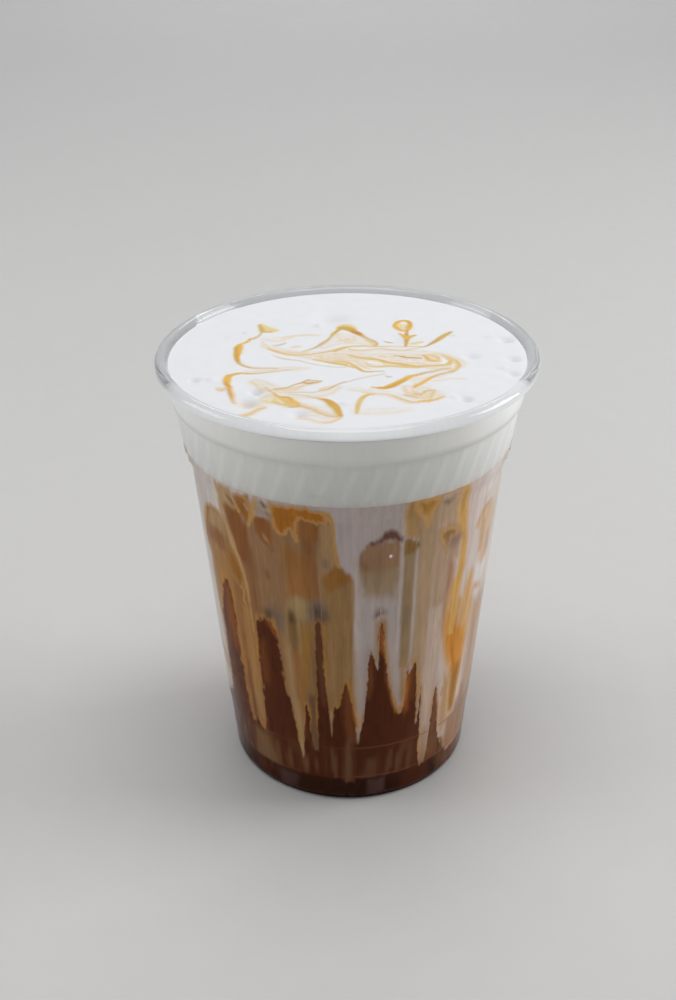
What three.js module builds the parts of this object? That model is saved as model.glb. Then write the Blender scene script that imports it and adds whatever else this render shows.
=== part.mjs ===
// A salted caramel cold brew in a clear thin-walled cup: dark coffee, a milky layer that runs down
// into it along the wall, and a thick cold foam that fills the ribbed band and the collar.
// Millimetres, +Z up. The origin is the middle of the foot, on the surface the cup stands on,
// and the front is -Y. Angles turn from the front towards +X.

import * as THREE from "three";

// The cup's overall sizes
const HEIGHT = 120;
const RIM_RADIUS = 49;
const FOOT_RADIUS = 32.9;
const WALL = 0.6;

// Clearance between pieces that touch
const GAP = 0.3;

// Heights of the wall's stations, from the foot up
const PUNT_HEIGHT = 3.6;
const FOOT_TOP = 8;
const RING_HEIGHT = 18.5;
const SHOULDER_BOTTOM = 91.7;
const RIBS_BOTTOM = 94.5;
const RIBS_TOP = 108.4;
const COLLAR_BOTTOM = 109.3;
const BEAD_BOTTOM = 116.7;

// Outer radii at those stations
const PUNT_RADIUS = 26;
const FOOT_RING_INNER = 28.6;
const FOOT_RING_OUTER = 31.5;
const FOOT_TOP_RADIUS = 33.5;
const RING_RADIUS = 34.6;
const SHOULDER_RADIUS = 41.2;
const RIBS_BOTTOM_RADIUS = 42.2;
const RIBS_TOP_RADIUS = 44.1;
const COLLAR_BOTTOM_RADIUS = 45.3;
const COLLAR_TOP_RADIUS = 46.1;

// Small steps pressed into the wall, and the width of the rolled rim
const STEP = 0.3;
const BEAD_WIDTH = 3.5;

// Slanted ribs round the band under the collar: their tops lean to the right, seen from outside
const RIB_COUNT = 48;
const RIB_DEPTH = 0.45;
const RIB_RUN_OUT = 0.8;
const RIB_SLANT_DEGREES = 6;
const SEGMENTS = 2 * RIB_COUNT;

// The drink's levels
const FOAM_BOTTOM = 97;
const FOAM_EDGE = 118.2;
const FOAM_MIDDLE = 118.6;
const COFFEE_CORE = 46;
const DRIP_LEVEL = 21;

// Where the dark coffee stands up between the milky drips, seen through the wall:
// angle in degrees, half width in degrees, height of the tip
const FRONT_PEAKS = [
  [-58, 8.5, 62],
  [-34, 7, 59],
  [-18.5, 3.8, 34],
  [-11, 3.8, 62],
  [-3, 5, 40],
  [12, 7, 57],
  [26, 5, 47],
  [32.5, 3.8, 40],
  [41, 4, 36],
];

// The back's peaks are the front's, half a turn on, with lower tips
const BACK_TIP_SHARE = 0.9;
const BACK_TIP_LIFT = 3;

// Shallow dents in the foam's top: X, Y, radius, depth
const FOAM_DENTS = [
  [-24, -26, 6, 0.9],
  [-38, -15, 5, 0.5],
  [41, 8, 5, 0.6],
  [42, -10, 5, 0.6],
  [27, -30, 5, 0.5],
  [-4, 25, 8, 0.5],
];

const degrees = THREE.MathUtils.degToRad;

// The outer wall's line, as radius and height, from under the punt to the rim's inner side
function outerLine() {
  const bead = HEIGHT - BEAD_BOTTOM;
  return [
    [0, PUNT_HEIGHT],
    [PUNT_RADIUS, PUNT_HEIGHT],
    [FOOT_RING_INNER, 0],
    [FOOT_RING_OUTER, 0],
    [FOOT_RADIUS - STEP, 0.25 * FOOT_TOP - 1],
    [FOOT_RADIUS, 0.25 * FOOT_TOP],
    [FOOT_TOP_RADIUS - STEP, FOOT_TOP - STEP],
    [FOOT_TOP_RADIUS, FOOT_TOP + STEP],
    [RING_RADIUS - STEP, RING_HEIGHT - STEP],
    [RING_RADIUS, RING_HEIGHT + STEP],
    [SHOULDER_RADIUS, SHOULDER_BOTTOM],
    [RIBS_BOTTOM_RADIUS, RIBS_BOTTOM],
    ...ribRows(RIBS_BOTTOM_RADIUS, RIBS_TOP_RADIUS),
    [RIBS_TOP_RADIUS, RIBS_TOP],
    [COLLAR_BOTTOM_RADIUS, COLLAR_BOTTOM],
    [COLLAR_TOP_RADIUS, BEAD_BOTTOM],
    [RIM_RADIUS - 0.3 * bead, BEAD_BOTTOM + 0.05 * bead],
    [RIM_RADIUS, BEAD_BOTTOM + 0.45 * bead],
    [RIM_RADIUS - 0.15 * bead, BEAD_BOTTOM + 0.85 * bead],
    [RIM_RADIUS - 0.5 * BEAD_WIDTH, HEIGHT],
    [RIM_RADIUS - BEAD_WIDTH + 0.15 * bead, BEAD_BOTTOM + 0.85 * bead],
    [RIM_RADIUS - BEAD_WIDTH, BEAD_BOTTOM + 0.45 * bead],
  ];
}

// The two rows between which the ribs stand at their full depth
function ribRows(bottomRadius, topRadius) {
  const slope = (topRadius - bottomRadius) / (RIBS_TOP - RIBS_BOTTOM);
  const rise = slope * RIB_RUN_OUT;
  return [
    [bottomRadius + rise, RIBS_BOTTOM + RIB_RUN_OUT],
    [topRadius - rise, RIBS_TOP - RIB_RUN_OUT],
  ];
}

// The inner wall's line from under the rim down to the floor's middle
function innerLine() {
  return [
    [COLLAR_TOP_RADIUS - WALL, BEAD_BOTTOM],
    [COLLAR_BOTTOM_RADIUS - WALL, COLLAR_BOTTOM + STEP],
    [RIBS_TOP_RADIUS - WALL, RIBS_TOP],
    ...ribRows(RIBS_BOTTOM_RADIUS - WALL, RIBS_TOP_RADIUS - WALL).reverse(),
    [RIBS_BOTTOM_RADIUS - WALL, RIBS_BOTTOM],
    [SHOULDER_RADIUS - WALL, SHOULDER_BOTTOM],
    [FOOT_TOP_RADIUS - WALL, FOOT_TOP + STEP],
    [FOOT_RADIUS - WALL, 0.25 * FOOT_TOP + STEP],
    [FOOT_RING_OUTER - STEP, WALL],
    [FOOT_RING_INNER + STEP, WALL],
    [PUNT_RADIUS + STEP, PUNT_HEIGHT + WALL],
    [0, PUNT_HEIGHT + WALL],
  ];
}

// A line's radius at a height; the line may run up or down
function radiusAt(line, height) {
  const rising = [...line].sort((a, b) => a[1] - b[1]);
  const next = rising.findIndex((point) => point[1] >= height);
  if (next < 0) return rising[rising.length - 1][0];
  if (next === 0) return rising[0][0];
  const [lower, upper] = [rising[next - 1], rising[next]];
  const share = (height - lower[1]) / (upper[1] - lower[1]);
  return lower[0] + share * (upper[0] - lower[0]);
}

// The radius of what fills the cup, one gap inside the wall
const fillWall = innerLine().slice(0, 9);
const fillRadius = (height) => radiusAt(fillWall, height) - GAP;

// Turns a line about Z and moves each vertex by place(row, segment, angle, radius, height)
function turned(line, place) {
  const points = line.map(([radius, height]) => new THREE.Vector2(radius, height));
  const geometry = new THREE.LatheGeometry(points, SEGMENTS);
  const position = geometry.getAttribute("position");
  for (let index = 0; index < position.count; index += 1) {
    const row = index % line.length;
    const segment = Math.floor(index / line.length) % SEGMENTS;
    const angle = (2 * Math.PI * segment) / SEGMENTS;
    const spot = place(row, segment, angle, line[row][0], line[row][1]);
    position.setXYZ(index, spot.radius * Math.sin(spot.angle),
      -spot.radius * Math.cos(spot.angle), spot.height);
  }
  geometry.computeVertexNormals();
  return geometry;
}

// Cuts each four-sided face along its other diagonal, so that a face that looks down on one
// that looks up, over the same grid, keeps the same creases
function crossCut(geometry) {
  const index = geometry.getIndex();
  for (let start = 0; start < index.count; start += 6) {
    const a = index.getX(start);
    const b = index.getX(start + 1);
    const d = index.getX(start + 2);
    const c = index.getX(start + 3);
    [a, b, c, a, c, d].forEach((corner, place) => index.setX(start + place, corner));
  }
  return geometry;
}

// The clear cup: ribs on the rows between the band's run-outs, leaning with height
function cupGeometry() {
  const ribsFrom = RIBS_BOTTOM + RIB_RUN_OUT;
  const ribsTo = RIBS_TOP - RIB_RUN_OUT;
  return turned([...outerLine(), ...innerLine()], (row, segment, angle, radius, height) => {
    const share = THREE.MathUtils.clamp((height - ribsFrom) / (ribsTo - ribsFrom), 0, 1);
    const ribbed = height >= ribsFrom && height <= ribsTo;
    const crest = ribbed && segment % 2 === 1;
    return {
      radius: radius + (crest ? RIB_DEPTH : 0),
      angle: angle + share * degrees(RIB_SLANT_DEGREES),
      height,
    };
  });
}

// All the coffee's peaks: those seen in front, and like ones on the back
function coffeePeaks() {
  const back = FRONT_PEAKS.map(([middle, halfWidth, tip]) => [
    middle + 180,
    halfWidth,
    BACK_TIP_SHARE * tip + BACK_TIP_LIFT,
  ]);
  return [...FRONT_PEAKS, ...back];
}

// Height of the dark coffee's edge on the wall
function coffeeEdge(angle) {
  let height = DRIP_LEVEL + 2.5 * Math.sin(5 * angle + 0.6);
  for (const [middle, halfWidth, tip] of coffeePeaks()) {
    const turn = THREE.MathUtils.euclideanModulo(angle - degrees(middle) + Math.PI, 2 * Math.PI);
    const across = (turn - Math.PI) / degrees(halfWidth);
    if (Math.abs(across) < 1) {
      height = Math.max(height, DRIP_LEVEL + (tip - DRIP_LEVEL) * (1 - across ** 2) ** 0.6);
    }
  }
  return height;
}

// The surface between coffee and milk, on rings given as shares of the wall's radius:
// level in the middle, and following the peaks and drips near the wall
const BOUNDARY_RINGS = [[0, 0], [0.55, 0], [0.82, 0.2], [0.94, 0.65], [1, 1]];
function boundaryHeight(angle, wallShare, lift) {
  return lift + COFFEE_CORE + wallShare * (coffeeEdge(angle) - COFFEE_CORE);
}

function boundarySpot(angle, ring, lift) {
  const [radiusShare, wallShare] = BOUNDARY_RINGS[ring];
  const height = boundaryHeight(angle, wallShare, lift);
  return { radius: radiusShare * fillRadius(boundaryHeight(angle, 1, lift)), angle, height };
}

// Dark coffee: fills the foot round the punt and stands up in peaks along the wall
function coffeeGeometry() {
  const floor = [
    [0, PUNT_HEIGHT + WALL + GAP],
    [PUNT_RADIUS + 2 * STEP, PUNT_HEIGHT + WALL + GAP],
    [FOOT_RING_INNER + 2 * STEP, WALL + GAP],
    [FOOT_RING_OUTER - 2 * STEP, WALL + GAP],
    [FOOT_RADIUS - WALL - GAP, 0.25 * FOOT_TOP + 2 * STEP],
    [fillRadius(FOOT_TOP + STEP), FOOT_TOP + STEP],
  ];
  const rings = BOUNDARY_RINGS.length;
  const line = [...floor, ...BOUNDARY_RINGS.map(() => [0, COFFEE_CORE])];
  return crossCut(turned(line, (row, segment, angle, radius, height) => {
    if (row < floor.length) return { radius, angle, height };
    return boundarySpot(angle, rings - 1 - (row - floor.length), 0);
  }));
}

// Milky layer: hangs down between the coffee's peaks and ends level under the foam
function milkGeometry() {
  const top = FOAM_BOTTOM - GAP;
  const wall = [SHOULDER_BOTTOM, RIBS_BOTTOM, top].map((height) => [fillRadius(height), height]);
  const lid = [[0.5 * fillRadius(top), top], [0, top]];
  const rings = BOUNDARY_RINGS.length;
  const line = [...BOUNDARY_RINGS.map(() => [0, COFFEE_CORE]), ...wall, ...lid];
  return turned(line, (row, segment, angle, radius, height) => {
    if (row >= rings) return { radius, angle, height };
    return boundarySpot(angle, row, 2 * GAP);
  });
}

// Height of the foam's top: soft swells, and the dents pressed into it
function foamTop(angle, radius) {
  const x = radius * Math.sin(angle);
  const y = -radius * Math.cos(angle);
  const edge = fillRadius(FOAM_EDGE);
  let height = FOAM_MIDDLE + (FOAM_EDGE - FOAM_MIDDLE) * (radius / edge) ** 4;
  height += 0.25 * Math.sin(0.16 * x + 0.9) * Math.cos(0.13 * y) * (1 - (radius / edge) ** 2);
  for (const [dentX, dentY, size, depth] of FOAM_DENTS) {
    const distance = Math.hypot(x - dentX, y - dentY) / size;
    if (distance < 1) height -= depth * (1 - distance ** 2) ** 2;
  }
  return height;
}

// Cold foam: a thick layer that follows the band and the collar up to just under the rim
function foamGeometry() {
  const base = [[0, FOAM_BOTTOM], [0.5 * fillRadius(FOAM_BOTTOM), FOAM_BOTTOM]];
  const wall = [FOAM_BOTTOM, RIBS_TOP - GAP, COLLAR_BOTTOM + STEP, BEAD_BOTTOM, FOAM_EDGE]
    .map((height) => [fillRadius(height), height]);
  const rings = [0.97, 0.91, 0.82, 0.7, 0.56, 0.4, 0.22, 0]
    .map((share) => [share * fillRadius(FOAM_EDGE), FOAM_EDGE]);
  const line = [...base, ...wall, ...rings];
  const firstRing = base.length + wall.length;
  return turned(line, (row, segment, angle, radius, height) => {
    if (row < firstRing) return { radius, angle, height };
    return { radius, angle, height: foamTop(angle, radius) };
  });
}

function piece(name, geometry, material) {
  const mesh = new THREE.Mesh(geometry, new THREE.MeshStandardMaterial(material));
  mesh.name = name;
  return mesh;
}

const coldBrew = new THREE.Group();
coldBrew.add(
  piece("cup", cupGeometry(), {
    color: 0xe4e9ec, roughness: 0.08, metalness: 0, transparent: true, opacity: 0.3,
  }),
  piece("cold_brew", coffeeGeometry(), { color: 0x32150c, roughness: 0.2, metalness: 0 }),
  piece("milk_layer", milkGeometry(), { color: 0xa58a72, roughness: 0.35, metalness: 0 }),
  piece("cold_foam", foamGeometry(), { color: 0xf3f1ee, roughness: 0.6, metalness: 0 }),
);

export default coldBrew;
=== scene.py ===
"""A salted caramel cold brew: dark coffee, streaked milk, caramel and cold foam in a clear ribbed cup."""

import math
from contextlib import contextmanager

import bpy
import numpy as np
from mathutils import Matrix, Vector


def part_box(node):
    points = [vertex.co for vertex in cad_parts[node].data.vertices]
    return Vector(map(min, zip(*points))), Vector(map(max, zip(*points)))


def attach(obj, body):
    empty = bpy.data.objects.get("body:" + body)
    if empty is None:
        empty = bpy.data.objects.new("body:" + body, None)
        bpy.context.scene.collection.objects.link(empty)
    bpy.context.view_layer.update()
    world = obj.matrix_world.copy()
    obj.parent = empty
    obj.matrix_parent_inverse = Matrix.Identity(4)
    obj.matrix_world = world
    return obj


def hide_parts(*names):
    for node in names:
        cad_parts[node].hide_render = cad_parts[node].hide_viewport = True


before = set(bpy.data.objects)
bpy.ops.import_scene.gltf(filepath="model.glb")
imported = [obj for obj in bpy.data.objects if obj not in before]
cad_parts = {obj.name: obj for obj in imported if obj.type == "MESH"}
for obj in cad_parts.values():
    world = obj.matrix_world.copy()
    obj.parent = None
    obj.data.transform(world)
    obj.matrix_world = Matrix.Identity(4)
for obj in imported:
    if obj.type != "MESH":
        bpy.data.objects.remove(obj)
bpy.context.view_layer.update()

# Lengths below are millimetres, and MM turns them to metres. Angles on the wall are degrees from
# the front, growing towards +X, and heights are above the surface the cup stands on.
MM = 0.001

# Points this close count as being at one height or radius, and points this close are merged
CLOSE = 0.01
MERGED = 0.002

# Overall sizes, read from the frame
cup_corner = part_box("cup")[1]
HEIGHT = cup_corner.z / MM
RIM_RADIUS = cup_corner.x / MM
FOAM_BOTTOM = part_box("cold_foam")[0].z / MM

# The wall's stations, as radius and height of its outside
PUNT = (26.0, 3.6)
FOOT_INNER = (28.6, 0.0)
FOOT_OUTER = (31.5, 0.0)
FOOT_CURVE = (32.9, 2.0)
FOOT_TOP = (33.5, 8.0)
RING = (34.6, 18.5)
SHOULDER = (41.2, 91.7)
BAND_BOTTOM = (42.2, 94.5)
BAND_TOP = (44.1, 108.4)
COLLAR_BOTTOM = (45.3, 109.3)
COLLAR_TOP = (46.1, 116.7)
WALL = 0.6
STEP = 0.3
FOOT_BEVEL = 0.5
BAND_BEVEL = 0.35

# The rim's rolled bead, an arc from under its outer side over to its inner side
BEAD_WIDTH = 3.5
BEAD_ARC = (-115, 180)
BEAD_STEPS = 16

# The band's slanted ribs
RIB_COUNT = 48
RIB_PITCH = 360 / RIB_COUNT
RIB_DEPTH = 0.45
RIB_HALF_WIDTH = 2.4
RIB_RUN_OUT = 0.8
RIB_LEAN = 6.0
RIBS_LOW = BAND_BOTTOM[1] + RIB_RUN_OUT
RIBS_HIGH = BAND_TOP[1] - RIB_RUN_OUT
BAND_ROWS = 9
RIB_COLUMNS = 8
SHELL_COLUMNS = RIB_COLUMNS * RIB_COUNT

# What fills the cup reaches this far into its wall, so that no air shows between them. In the band
# it reaches further and follows only a share of the ribs' height.
SINK = 0.22
BAND_SINK = 0.16
RIB_SHARE = 0.16

# How fine the drink's grids are, and how much closer together its columns are at the front
DRINK_COLUMNS = 540
FRONT_CROWDING = 0.5
MILK_ROWS = 160
MILK_ROW_CROWDING = 1.25
COFFEE_ROWS = 90
FOAM_COLUMNS = 12 * RIB_COUNT
FOAM_ROWS = 30
FOAM_LIP_ROWS = 10
FOAM_RINGS = 122
SWIRL_REACH = 34.0
SWIRL_RINGS = 98

# At the front the foam clings under the rim's bead, this far out and from this height up. It lets
# go between these angles to each side.
LIP_REACH = 1.5
LIP_BOTTOM = 116.8
LIP_ANGLES = (105, 40)

# The drink's levels. Under the milk the dark coffee rises from its core's level to its edge on the
# wall: the share of the way out, and the share of that rise.
FOAM_EDGE = 118.2
FOAM_MIDDLE = 118.6
COFFEE_CORE = 46.0
COFFEE_RISE = [(0, 0), (0.55, 0), (0.82, 0.2), (0.94, 0.65), (1, 1)]

# The drink stands on the punt, and its floor is back at the foot's at this share of the way out
PUNT_FOOT = 0.93

# The camera, as fitted to the cup's ellipses
CAMERA_PLACE = (-1.07, -335.0, 257.45)
CAMERA_PITCH = 0.49588
CAMERA_YAW = 0.00482
CAMERA_ROLL = 0.01001
CAMERA_LENS = 50.897

# Lamps: name, place and target in metres, size, watts, colour
LAMPS = [
    ("Top", (0, 0, 1.2), (0, 0, 0.06), 0.8, 7.1, (1.0, 0.998, 0.99)),
    ("Right", (1.0, 0.12, 0.5), (0, 0, 0.06), 0.6, 7.2, (1.0, 0.995, 0.985)),
    ("Left", (-1.0, 0, 0.5), (0, 0, 0.06), 0.6, 3.8, (1.0, 0.99, 0.98)),
    ("Backdrop", (0, 1.5, 1.1), (0, 1.7, 0), 0.9, 10, (0.97, 0.985, 1.0)),
]

# The stage in metres: its floor's side, its backdrop's height and the curve between them
STAGE_FLOOR = 3.0
STAGE_WALL = 1.5
STAGE_CURVE = 0.5


def smooth(value, low, high):
    """0 below low, 1 above high and soft between; low may be the larger."""
    share = np.clip((value - low) / (high - low), 0, 1)
    return share * share * (3 - 2 * share)


def between(rows, place):
    """The value at a place, straight between rows of place and value."""
    places, values = zip(*rows)
    return np.interp(place, places, values)


def clouds(u, v, seed):
    """Soft noise from 0 to 1 with blobs one unit wide."""
    grid = np.random.default_rng(seed).random((64, 64))
    u0 = np.floor(u).astype(int)
    v0 = np.floor(v).astype(int)
    across = smooth(u - u0, 0, 1)
    along = smooth(v - v0, 0, 1)
    low = grid[u0 % 64, v0 % 64] * (1 - across) + grid[(u0 + 1) % 64, v0 % 64] * across
    high = grid[u0 % 64, (v0 + 1) % 64] * (1 - across) + grid[(u0 + 1) % 64, (v0 + 1) % 64] * across
    return low * (1 - along) + high * along


def wall_noise(angle, height, rows, seed=0):
    """Noise round 0. Rows: blobs a degree, their shift, blobs a mm, their shift, strength, seed."""
    total = 0
    for across, shift_across, up, shift_up, strength, own_seed in rows:
        cloud = clouds(angle * across + shift_across, height * up + shift_up, seed + own_seed)
        total = total + (cloud - 0.5) * strength
    return total


def top_noise(x, y, blobs, shift, seed):
    """Noise round 0 on the foam's top, with so many blobs a mm."""
    return clouds(x * blobs + shift, y * blobs + shift, seed) - 0.5


def outer_line():
    """Radius and height of the cup's outside, from the punt's edge to the rim's inner side."""
    line = [PUNT, FOOT_INNER, FOOT_OUTER, (FOOT_CURVE[0] - STEP, FOOT_CURVE[1] / 2), FOOT_CURVE]
    for radius, height in (FOOT_TOP, RING):
        line += [(radius - STEP, height - STEP), (radius, height + STEP)]
    line += [SHOULDER, *band_rows(0), COLLAR_BOTTOM, COLLAR_TOP]
    half_width = BEAD_WIDTH / 2
    half_height = (HEIGHT - COLLAR_TOP[1]) / 2
    for turn in np.radians(np.linspace(*BEAD_ARC, BEAD_STEPS + 1)):
        out = half_width * math.cos(turn) - half_width
        line.append((RIM_RADIUS + out, COLLAR_TOP[1] + half_height + half_height * math.sin(turn)))
    return line


def band_rows(inset):
    """The band's rows from its bottom to its top, inset from the outside; the ribs fill the middle ones."""
    heights = [BAND_BOTTOM[1], *np.linspace(RIBS_LOW, RIBS_HIGH, BAND_ROWS), BAND_TOP[1]]
    flare = (BAND_TOP[0] - BAND_BOTTOM[0]) / (BAND_TOP[1] - BAND_BOTTOM[1])
    return [(BAND_BOTTOM[0] - inset + flare * (height - BAND_BOTTOM[1]), height) for height in heights]


def inner_line():
    """Radius and height of the cup's inside, from under the rim down to the punt's edge."""
    return [
        (COLLAR_TOP[0] - WALL, COLLAR_TOP[1]),
        (COLLAR_BOTTOM[0] - WALL, COLLAR_BOTTOM[1] + STEP),
        *reversed(band_rows(WALL)),
        (SHOULDER[0] - WALL, SHOULDER[1]),
        (FOOT_TOP[0] - WALL, FOOT_TOP[1] + STEP),
        (FOOT_CURVE[0] - WALL, FOOT_CURVE[1] + STEP),
        (FOOT_OUTER[0] - STEP, WALL),
        (FOOT_INNER[0] + STEP, WALL),
        (PUNT[0] + STEP, PUNT[1] + WALL),
    ]


def fill_radius(height):
    """Radius of what fills the cup, at heights above the foot's curve."""
    return between(sorted((h, r) for r, h in inner_line()[:-2]), height) + SINK


def rib_lean(height):
    """How far the ribs have turned at a height, in degrees."""
    return RIB_LEAN * np.clip((height - RIBS_LOW) / (RIBS_HIGH - RIBS_LOW), 0, 1)


def rib_lobe(from_crest):
    """How far a rib stands out at these degrees from its crest."""
    lobe = np.cos(math.pi / 2 * from_crest / RIB_HALF_WIDTH) ** 2
    return RIB_DEPTH * np.where(np.abs(from_crest) < RIB_HALF_WIDTH, lobe, 0)


def rib_height(angle, height):
    """How far a rib stands out of the band at this angle and height."""
    from_crest = np.mod(angle - rib_lean(height), RIB_PITCH) - RIB_PITCH / 2
    run_in = np.clip((height - BAND_BOTTOM[1]) / RIB_RUN_OUT, 0, 1)
    run_out = np.clip((BAND_TOP[1] - height) / RIB_RUN_OUT, 0, 1)
    return rib_lobe(from_crest) * run_in * run_out


# Seen colours on the wall, 0 to 255. The share of light there and what the clear wall mirrors over
# it, by the angle, turn them into the surface's own colours, none darker than the darkest. A few are
# painted light: the foot tone is painted shade, the mauve foot tone a painted reflection and the ring
# tone a painted highlight.
WALL_LIGHT = [
    (-90, 0.82), (-72, 0.8), (-60, 0.69), (-50, 0.61), (-40, 0.56), (-30, 0.52), (-20, 0.475), (-10, 0.435),
    (0, 0.42), (10, 0.44), (20, 0.5), (30, 0.58), (40, 0.68), (50, 0.77), (60, 0.88), (72, 1), (90, 1),
]
WALL_MIRROR = [(0, 0.002), (35, 0.003), (50, 0.006), (60, 0.01), (70, 0.022), (90, 0.05)]
DARKEST = 0.0004
TONE = {
    "milk": (137, 126, 123), "near milk": (138, 127, 121), "left milk": (176, 167, 162),
    "edge milk": (180, 168, 159), "edge right": (208, 190, 176), "right milk": (183, 166, 157),
    "far milk": (210, 202, 199), "film": (135, 124, 113), "warm film": (131, 114, 94),
    "pink film": (160, 140, 125), "low film": (136, 112, 88), "tan": (112, 83, 56),
    "warm tan": (117, 80, 46), "light tan": (120, 92, 62), "pale tan": (128, 103, 73),
    "mid pale": (124, 98, 69), "brown": (108, 73, 46), "dim brown": (100, 69, 46), "reddish": (112, 71, 41),
    "crease": (142, 108, 78), "left tan": (142, 107, 68), "left brown": (126, 87, 56),
    "left pale": (151, 123, 90), "left gold": (139, 99, 56), "left band": (125, 87, 54),
    "rust": (120, 67, 31), "dim rust": (84, 48, 28), "caramel": (131, 81, 27), "sheet edge": (134, 96, 48),
    "dark caramel": (112, 76, 37), "left caramel": (128, 83, 37), "blob": (113, 77, 38),
    "gold": (129, 91, 38), "light gold": (146, 115, 74), "stain": (119, 88, 45),
    "pale olive": (124, 104, 72), "olive": (101, 78, 49), "olive tan": (119, 98, 72),
    "violet": (97, 80, 68), "grey halo": (84, 76, 66), "spot": (62, 49, 40), "dark spot": (70, 50, 38),
    "maroon": (78, 48, 36), "ice": (113, 87, 65), "low ice": (117, 98, 76), "right tan": (141, 117, 91),
    "right pale": (155, 130, 106), "right caramel": (141, 99, 44), "right line": (130, 98, 57),
    "patch": (109, 81, 46), "right patch": (122, 90, 53), "plum": (118, 95, 86),
    "right gold": (178, 135, 68), "deep gold": (173, 125, 46), "right brown": (147, 112, 86),
    "orange": (184, 123, 50), "deep orange": (170, 109, 38), "low orange": (150, 105, 48),
    "orange beige": (184, 144, 98), "right beige": (176, 141, 112), "loop": (200, 174, 149),
    "loop pale": (198, 175, 153), "low right": (146, 111, 84), "low beige": (160, 127, 93),
    "drip": (102, 66, 44), "low left": (84, 54, 37), "smear": (82, 57, 39), "pale smear": (97, 72, 49),
    "column": (84, 62, 44), "fringe": (142, 98, 50), "coffee": (57, 28, 16), "foot": (37, 19, 13),
    "mauve foot": (62, 43, 38), "right foot": (100, 68, 50), "left olive": (139, 103, 64),
    "left red": (121, 77, 49), "left film": (143, 133, 125), "hole": (112, 73, 42),
    "light film": (136, 119, 103), "olive brown": (113, 87, 56), "grey olive": (110, 94, 73),
    "gold wash": (138, 107, 69), "right mid": (150, 125, 103), "loop gold": (188, 150, 106),
    "loop mauve": (184, 160, 148), "loop brown": (188, 153, 120), "plum right": (155, 119, 99),
    "warm rust": (94, 52, 28), "coffee edge": (74, 45, 29), "low olive": (97, 70, 47),
    "brown foot": (62, 31, 19), "ring": (92, 56, 40),
}


def seen_light(tone):
    """A seen colour as linear light."""
    return ((np.array(tone) / 255 + 0.055) / 1.055) ** 2.4


def pigment(tone, angle=0.0):
    """The surface colour that looks like this tone in the light on the wall at this angle."""
    own = seen_light(TONE[tone]) - between(WALL_MIRROR, abs(angle))
    return np.maximum(own, DARKEST) / between(WALL_LIGHT, angle)


# The milk's tone round the wall
MILK_ROUND = [
    (-90, "edge milk"), (-76, "edge milk"), (-66, "left milk"), (-54, "left milk"), (-20, "near milk"),
    (0, "milk"), (20, "near milk"), (48, "right milk"), (62, "far milk"), (74, "edge right"),
    (86, "edge right"), (94, "edge milk"),
]

# The dark coffee's edge on the front of the wall: angle and height. The back repeats it, with its
# teeth a share as tall and lifted, and small teeth are added all round above the foot.
COFFEE_EDGE = [
    (-90, 22), (-80, 21), (-72, 22), (-68, 25), (-66.4, 28), (-65.6, 40), (-64.6, 50), (-62.6, 56),
    (-60, 60.5), (-57.6, 64), (-55.6, 65), (-54, 62), (-53, 56), (-52.4, 44), (-52, 30), (-51.4, 21.5),
    (-48.4, 19.5), (-46.2, 22.5), (-44.6, 20), (-42.6, 18.5), (-41, 20.5), (-40.5, 30), (-40.3, 44),
    (-39.8, 54), (-38.6, 57.4), (-36, 58.4), (-33, 58.5), (-31, 57.5), (-29.6, 55), (-28.9, 50),
    (-28.4, 44), (-28, 38), (-27.2, 34.4), (-26.5, 36), (-25.9, 35), (-25.2, 30), (-24.5, 24),
    (-23.4, 19.5), (-22.3, 14), (-21.6, 14.5), (-21, 18), (-20.3, 22.5), (-19.7, 29), (-19, 32.6),
    (-18.2, 33), (-17.6, 27), (-16.9, 20), (-15.4, 18), (-14.2, 19), (-13.9, 28), (-13.6, 38), (-13.4, 52),
    (-13.1, 60.4), (-11.8, 62), (-10.4, 60.6), (-10.2, 50), (-10.3, 40), (-9.3, 34), (-8.5, 29), (-7.9, 23),
    (-7.4, 30), (-6.4, 34), (-5, 33), (-4, 33.8), (-3.4, 37), (-2.6, 41), (-1.4, 42), (-0.4, 40.5),
    (0.6, 37), (1.6, 33.4), (2.6, 31), (3.4, 27), (4.4, 24), (5.3, 27), (5.9, 31.5), (6.5, 35), (6.9, 41),
    (7.3, 47), (7.9, 52), (8.5, 52.8), (9.3, 50), (10.3, 47), (11.2, 45.4), (11.8, 46.6), (12, 52),
    (11.8, 57), (12.3, 61.4), (12.9, 60), (13.7, 55), (14.2, 51), (15, 48.6), (15.7, 45), (16.5, 41),
    (17.7, 37.6), (19, 34), (20.4, 31.2), (21.7, 29.4), (22.8, 30.4), (23.8, 32.6), (24.2, 38), (24.5, 47),
    (25.2, 42.5), (26.2, 43.6), (27.7, 46), (28.5, 43.5), (29.2, 37), (29.8, 29), (30.5, 23.5), (31.3, 28),
    (31.8, 37), (32.4, 30), (32.8, 20), (33.3, 10), (35, 7.6), (37.4, 8.4), (38.8, 14), (39.4, 25),
    (39.9, 33), (40.4, 36.6), (41, 32), (42, 27.6), (43, 23), (43.6, 19), (44.8, 17), (46, 14.4),
    (47.6, 12.4), (49.6, 10.6), (51.4, 8.4), (56, 7), (66, 7), (74, 10), (80, 16), (90, 22),
]
WALL_MM_PER_DEGREE = 0.66
BACK_TIP_SHARE = 0.9
BACK_TIP_LIFT = 3.0
SMALL_TEETH = [(64 / 60, 100, 0, 3.3, 2.4, 31), (64 / 20, 100, 0, 5.1, 2.0, 32)]
COFFEE_EDGE_LOWEST = 6.5
COFFEE_TOP = 61.6


def wrapped(angle):
    """The angle as one from -180 to 180."""
    return np.mod(angle + 180, 360) - 180


def two_faces(angle):
    """Angle on its own face of the wall, from -90 to 90, and True on the back, which repeats the front."""
    turned = wrapped(angle)
    back = np.abs(turned) > 90
    return np.where(back, turned - 180 * np.sign(turned), turned), back


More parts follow.
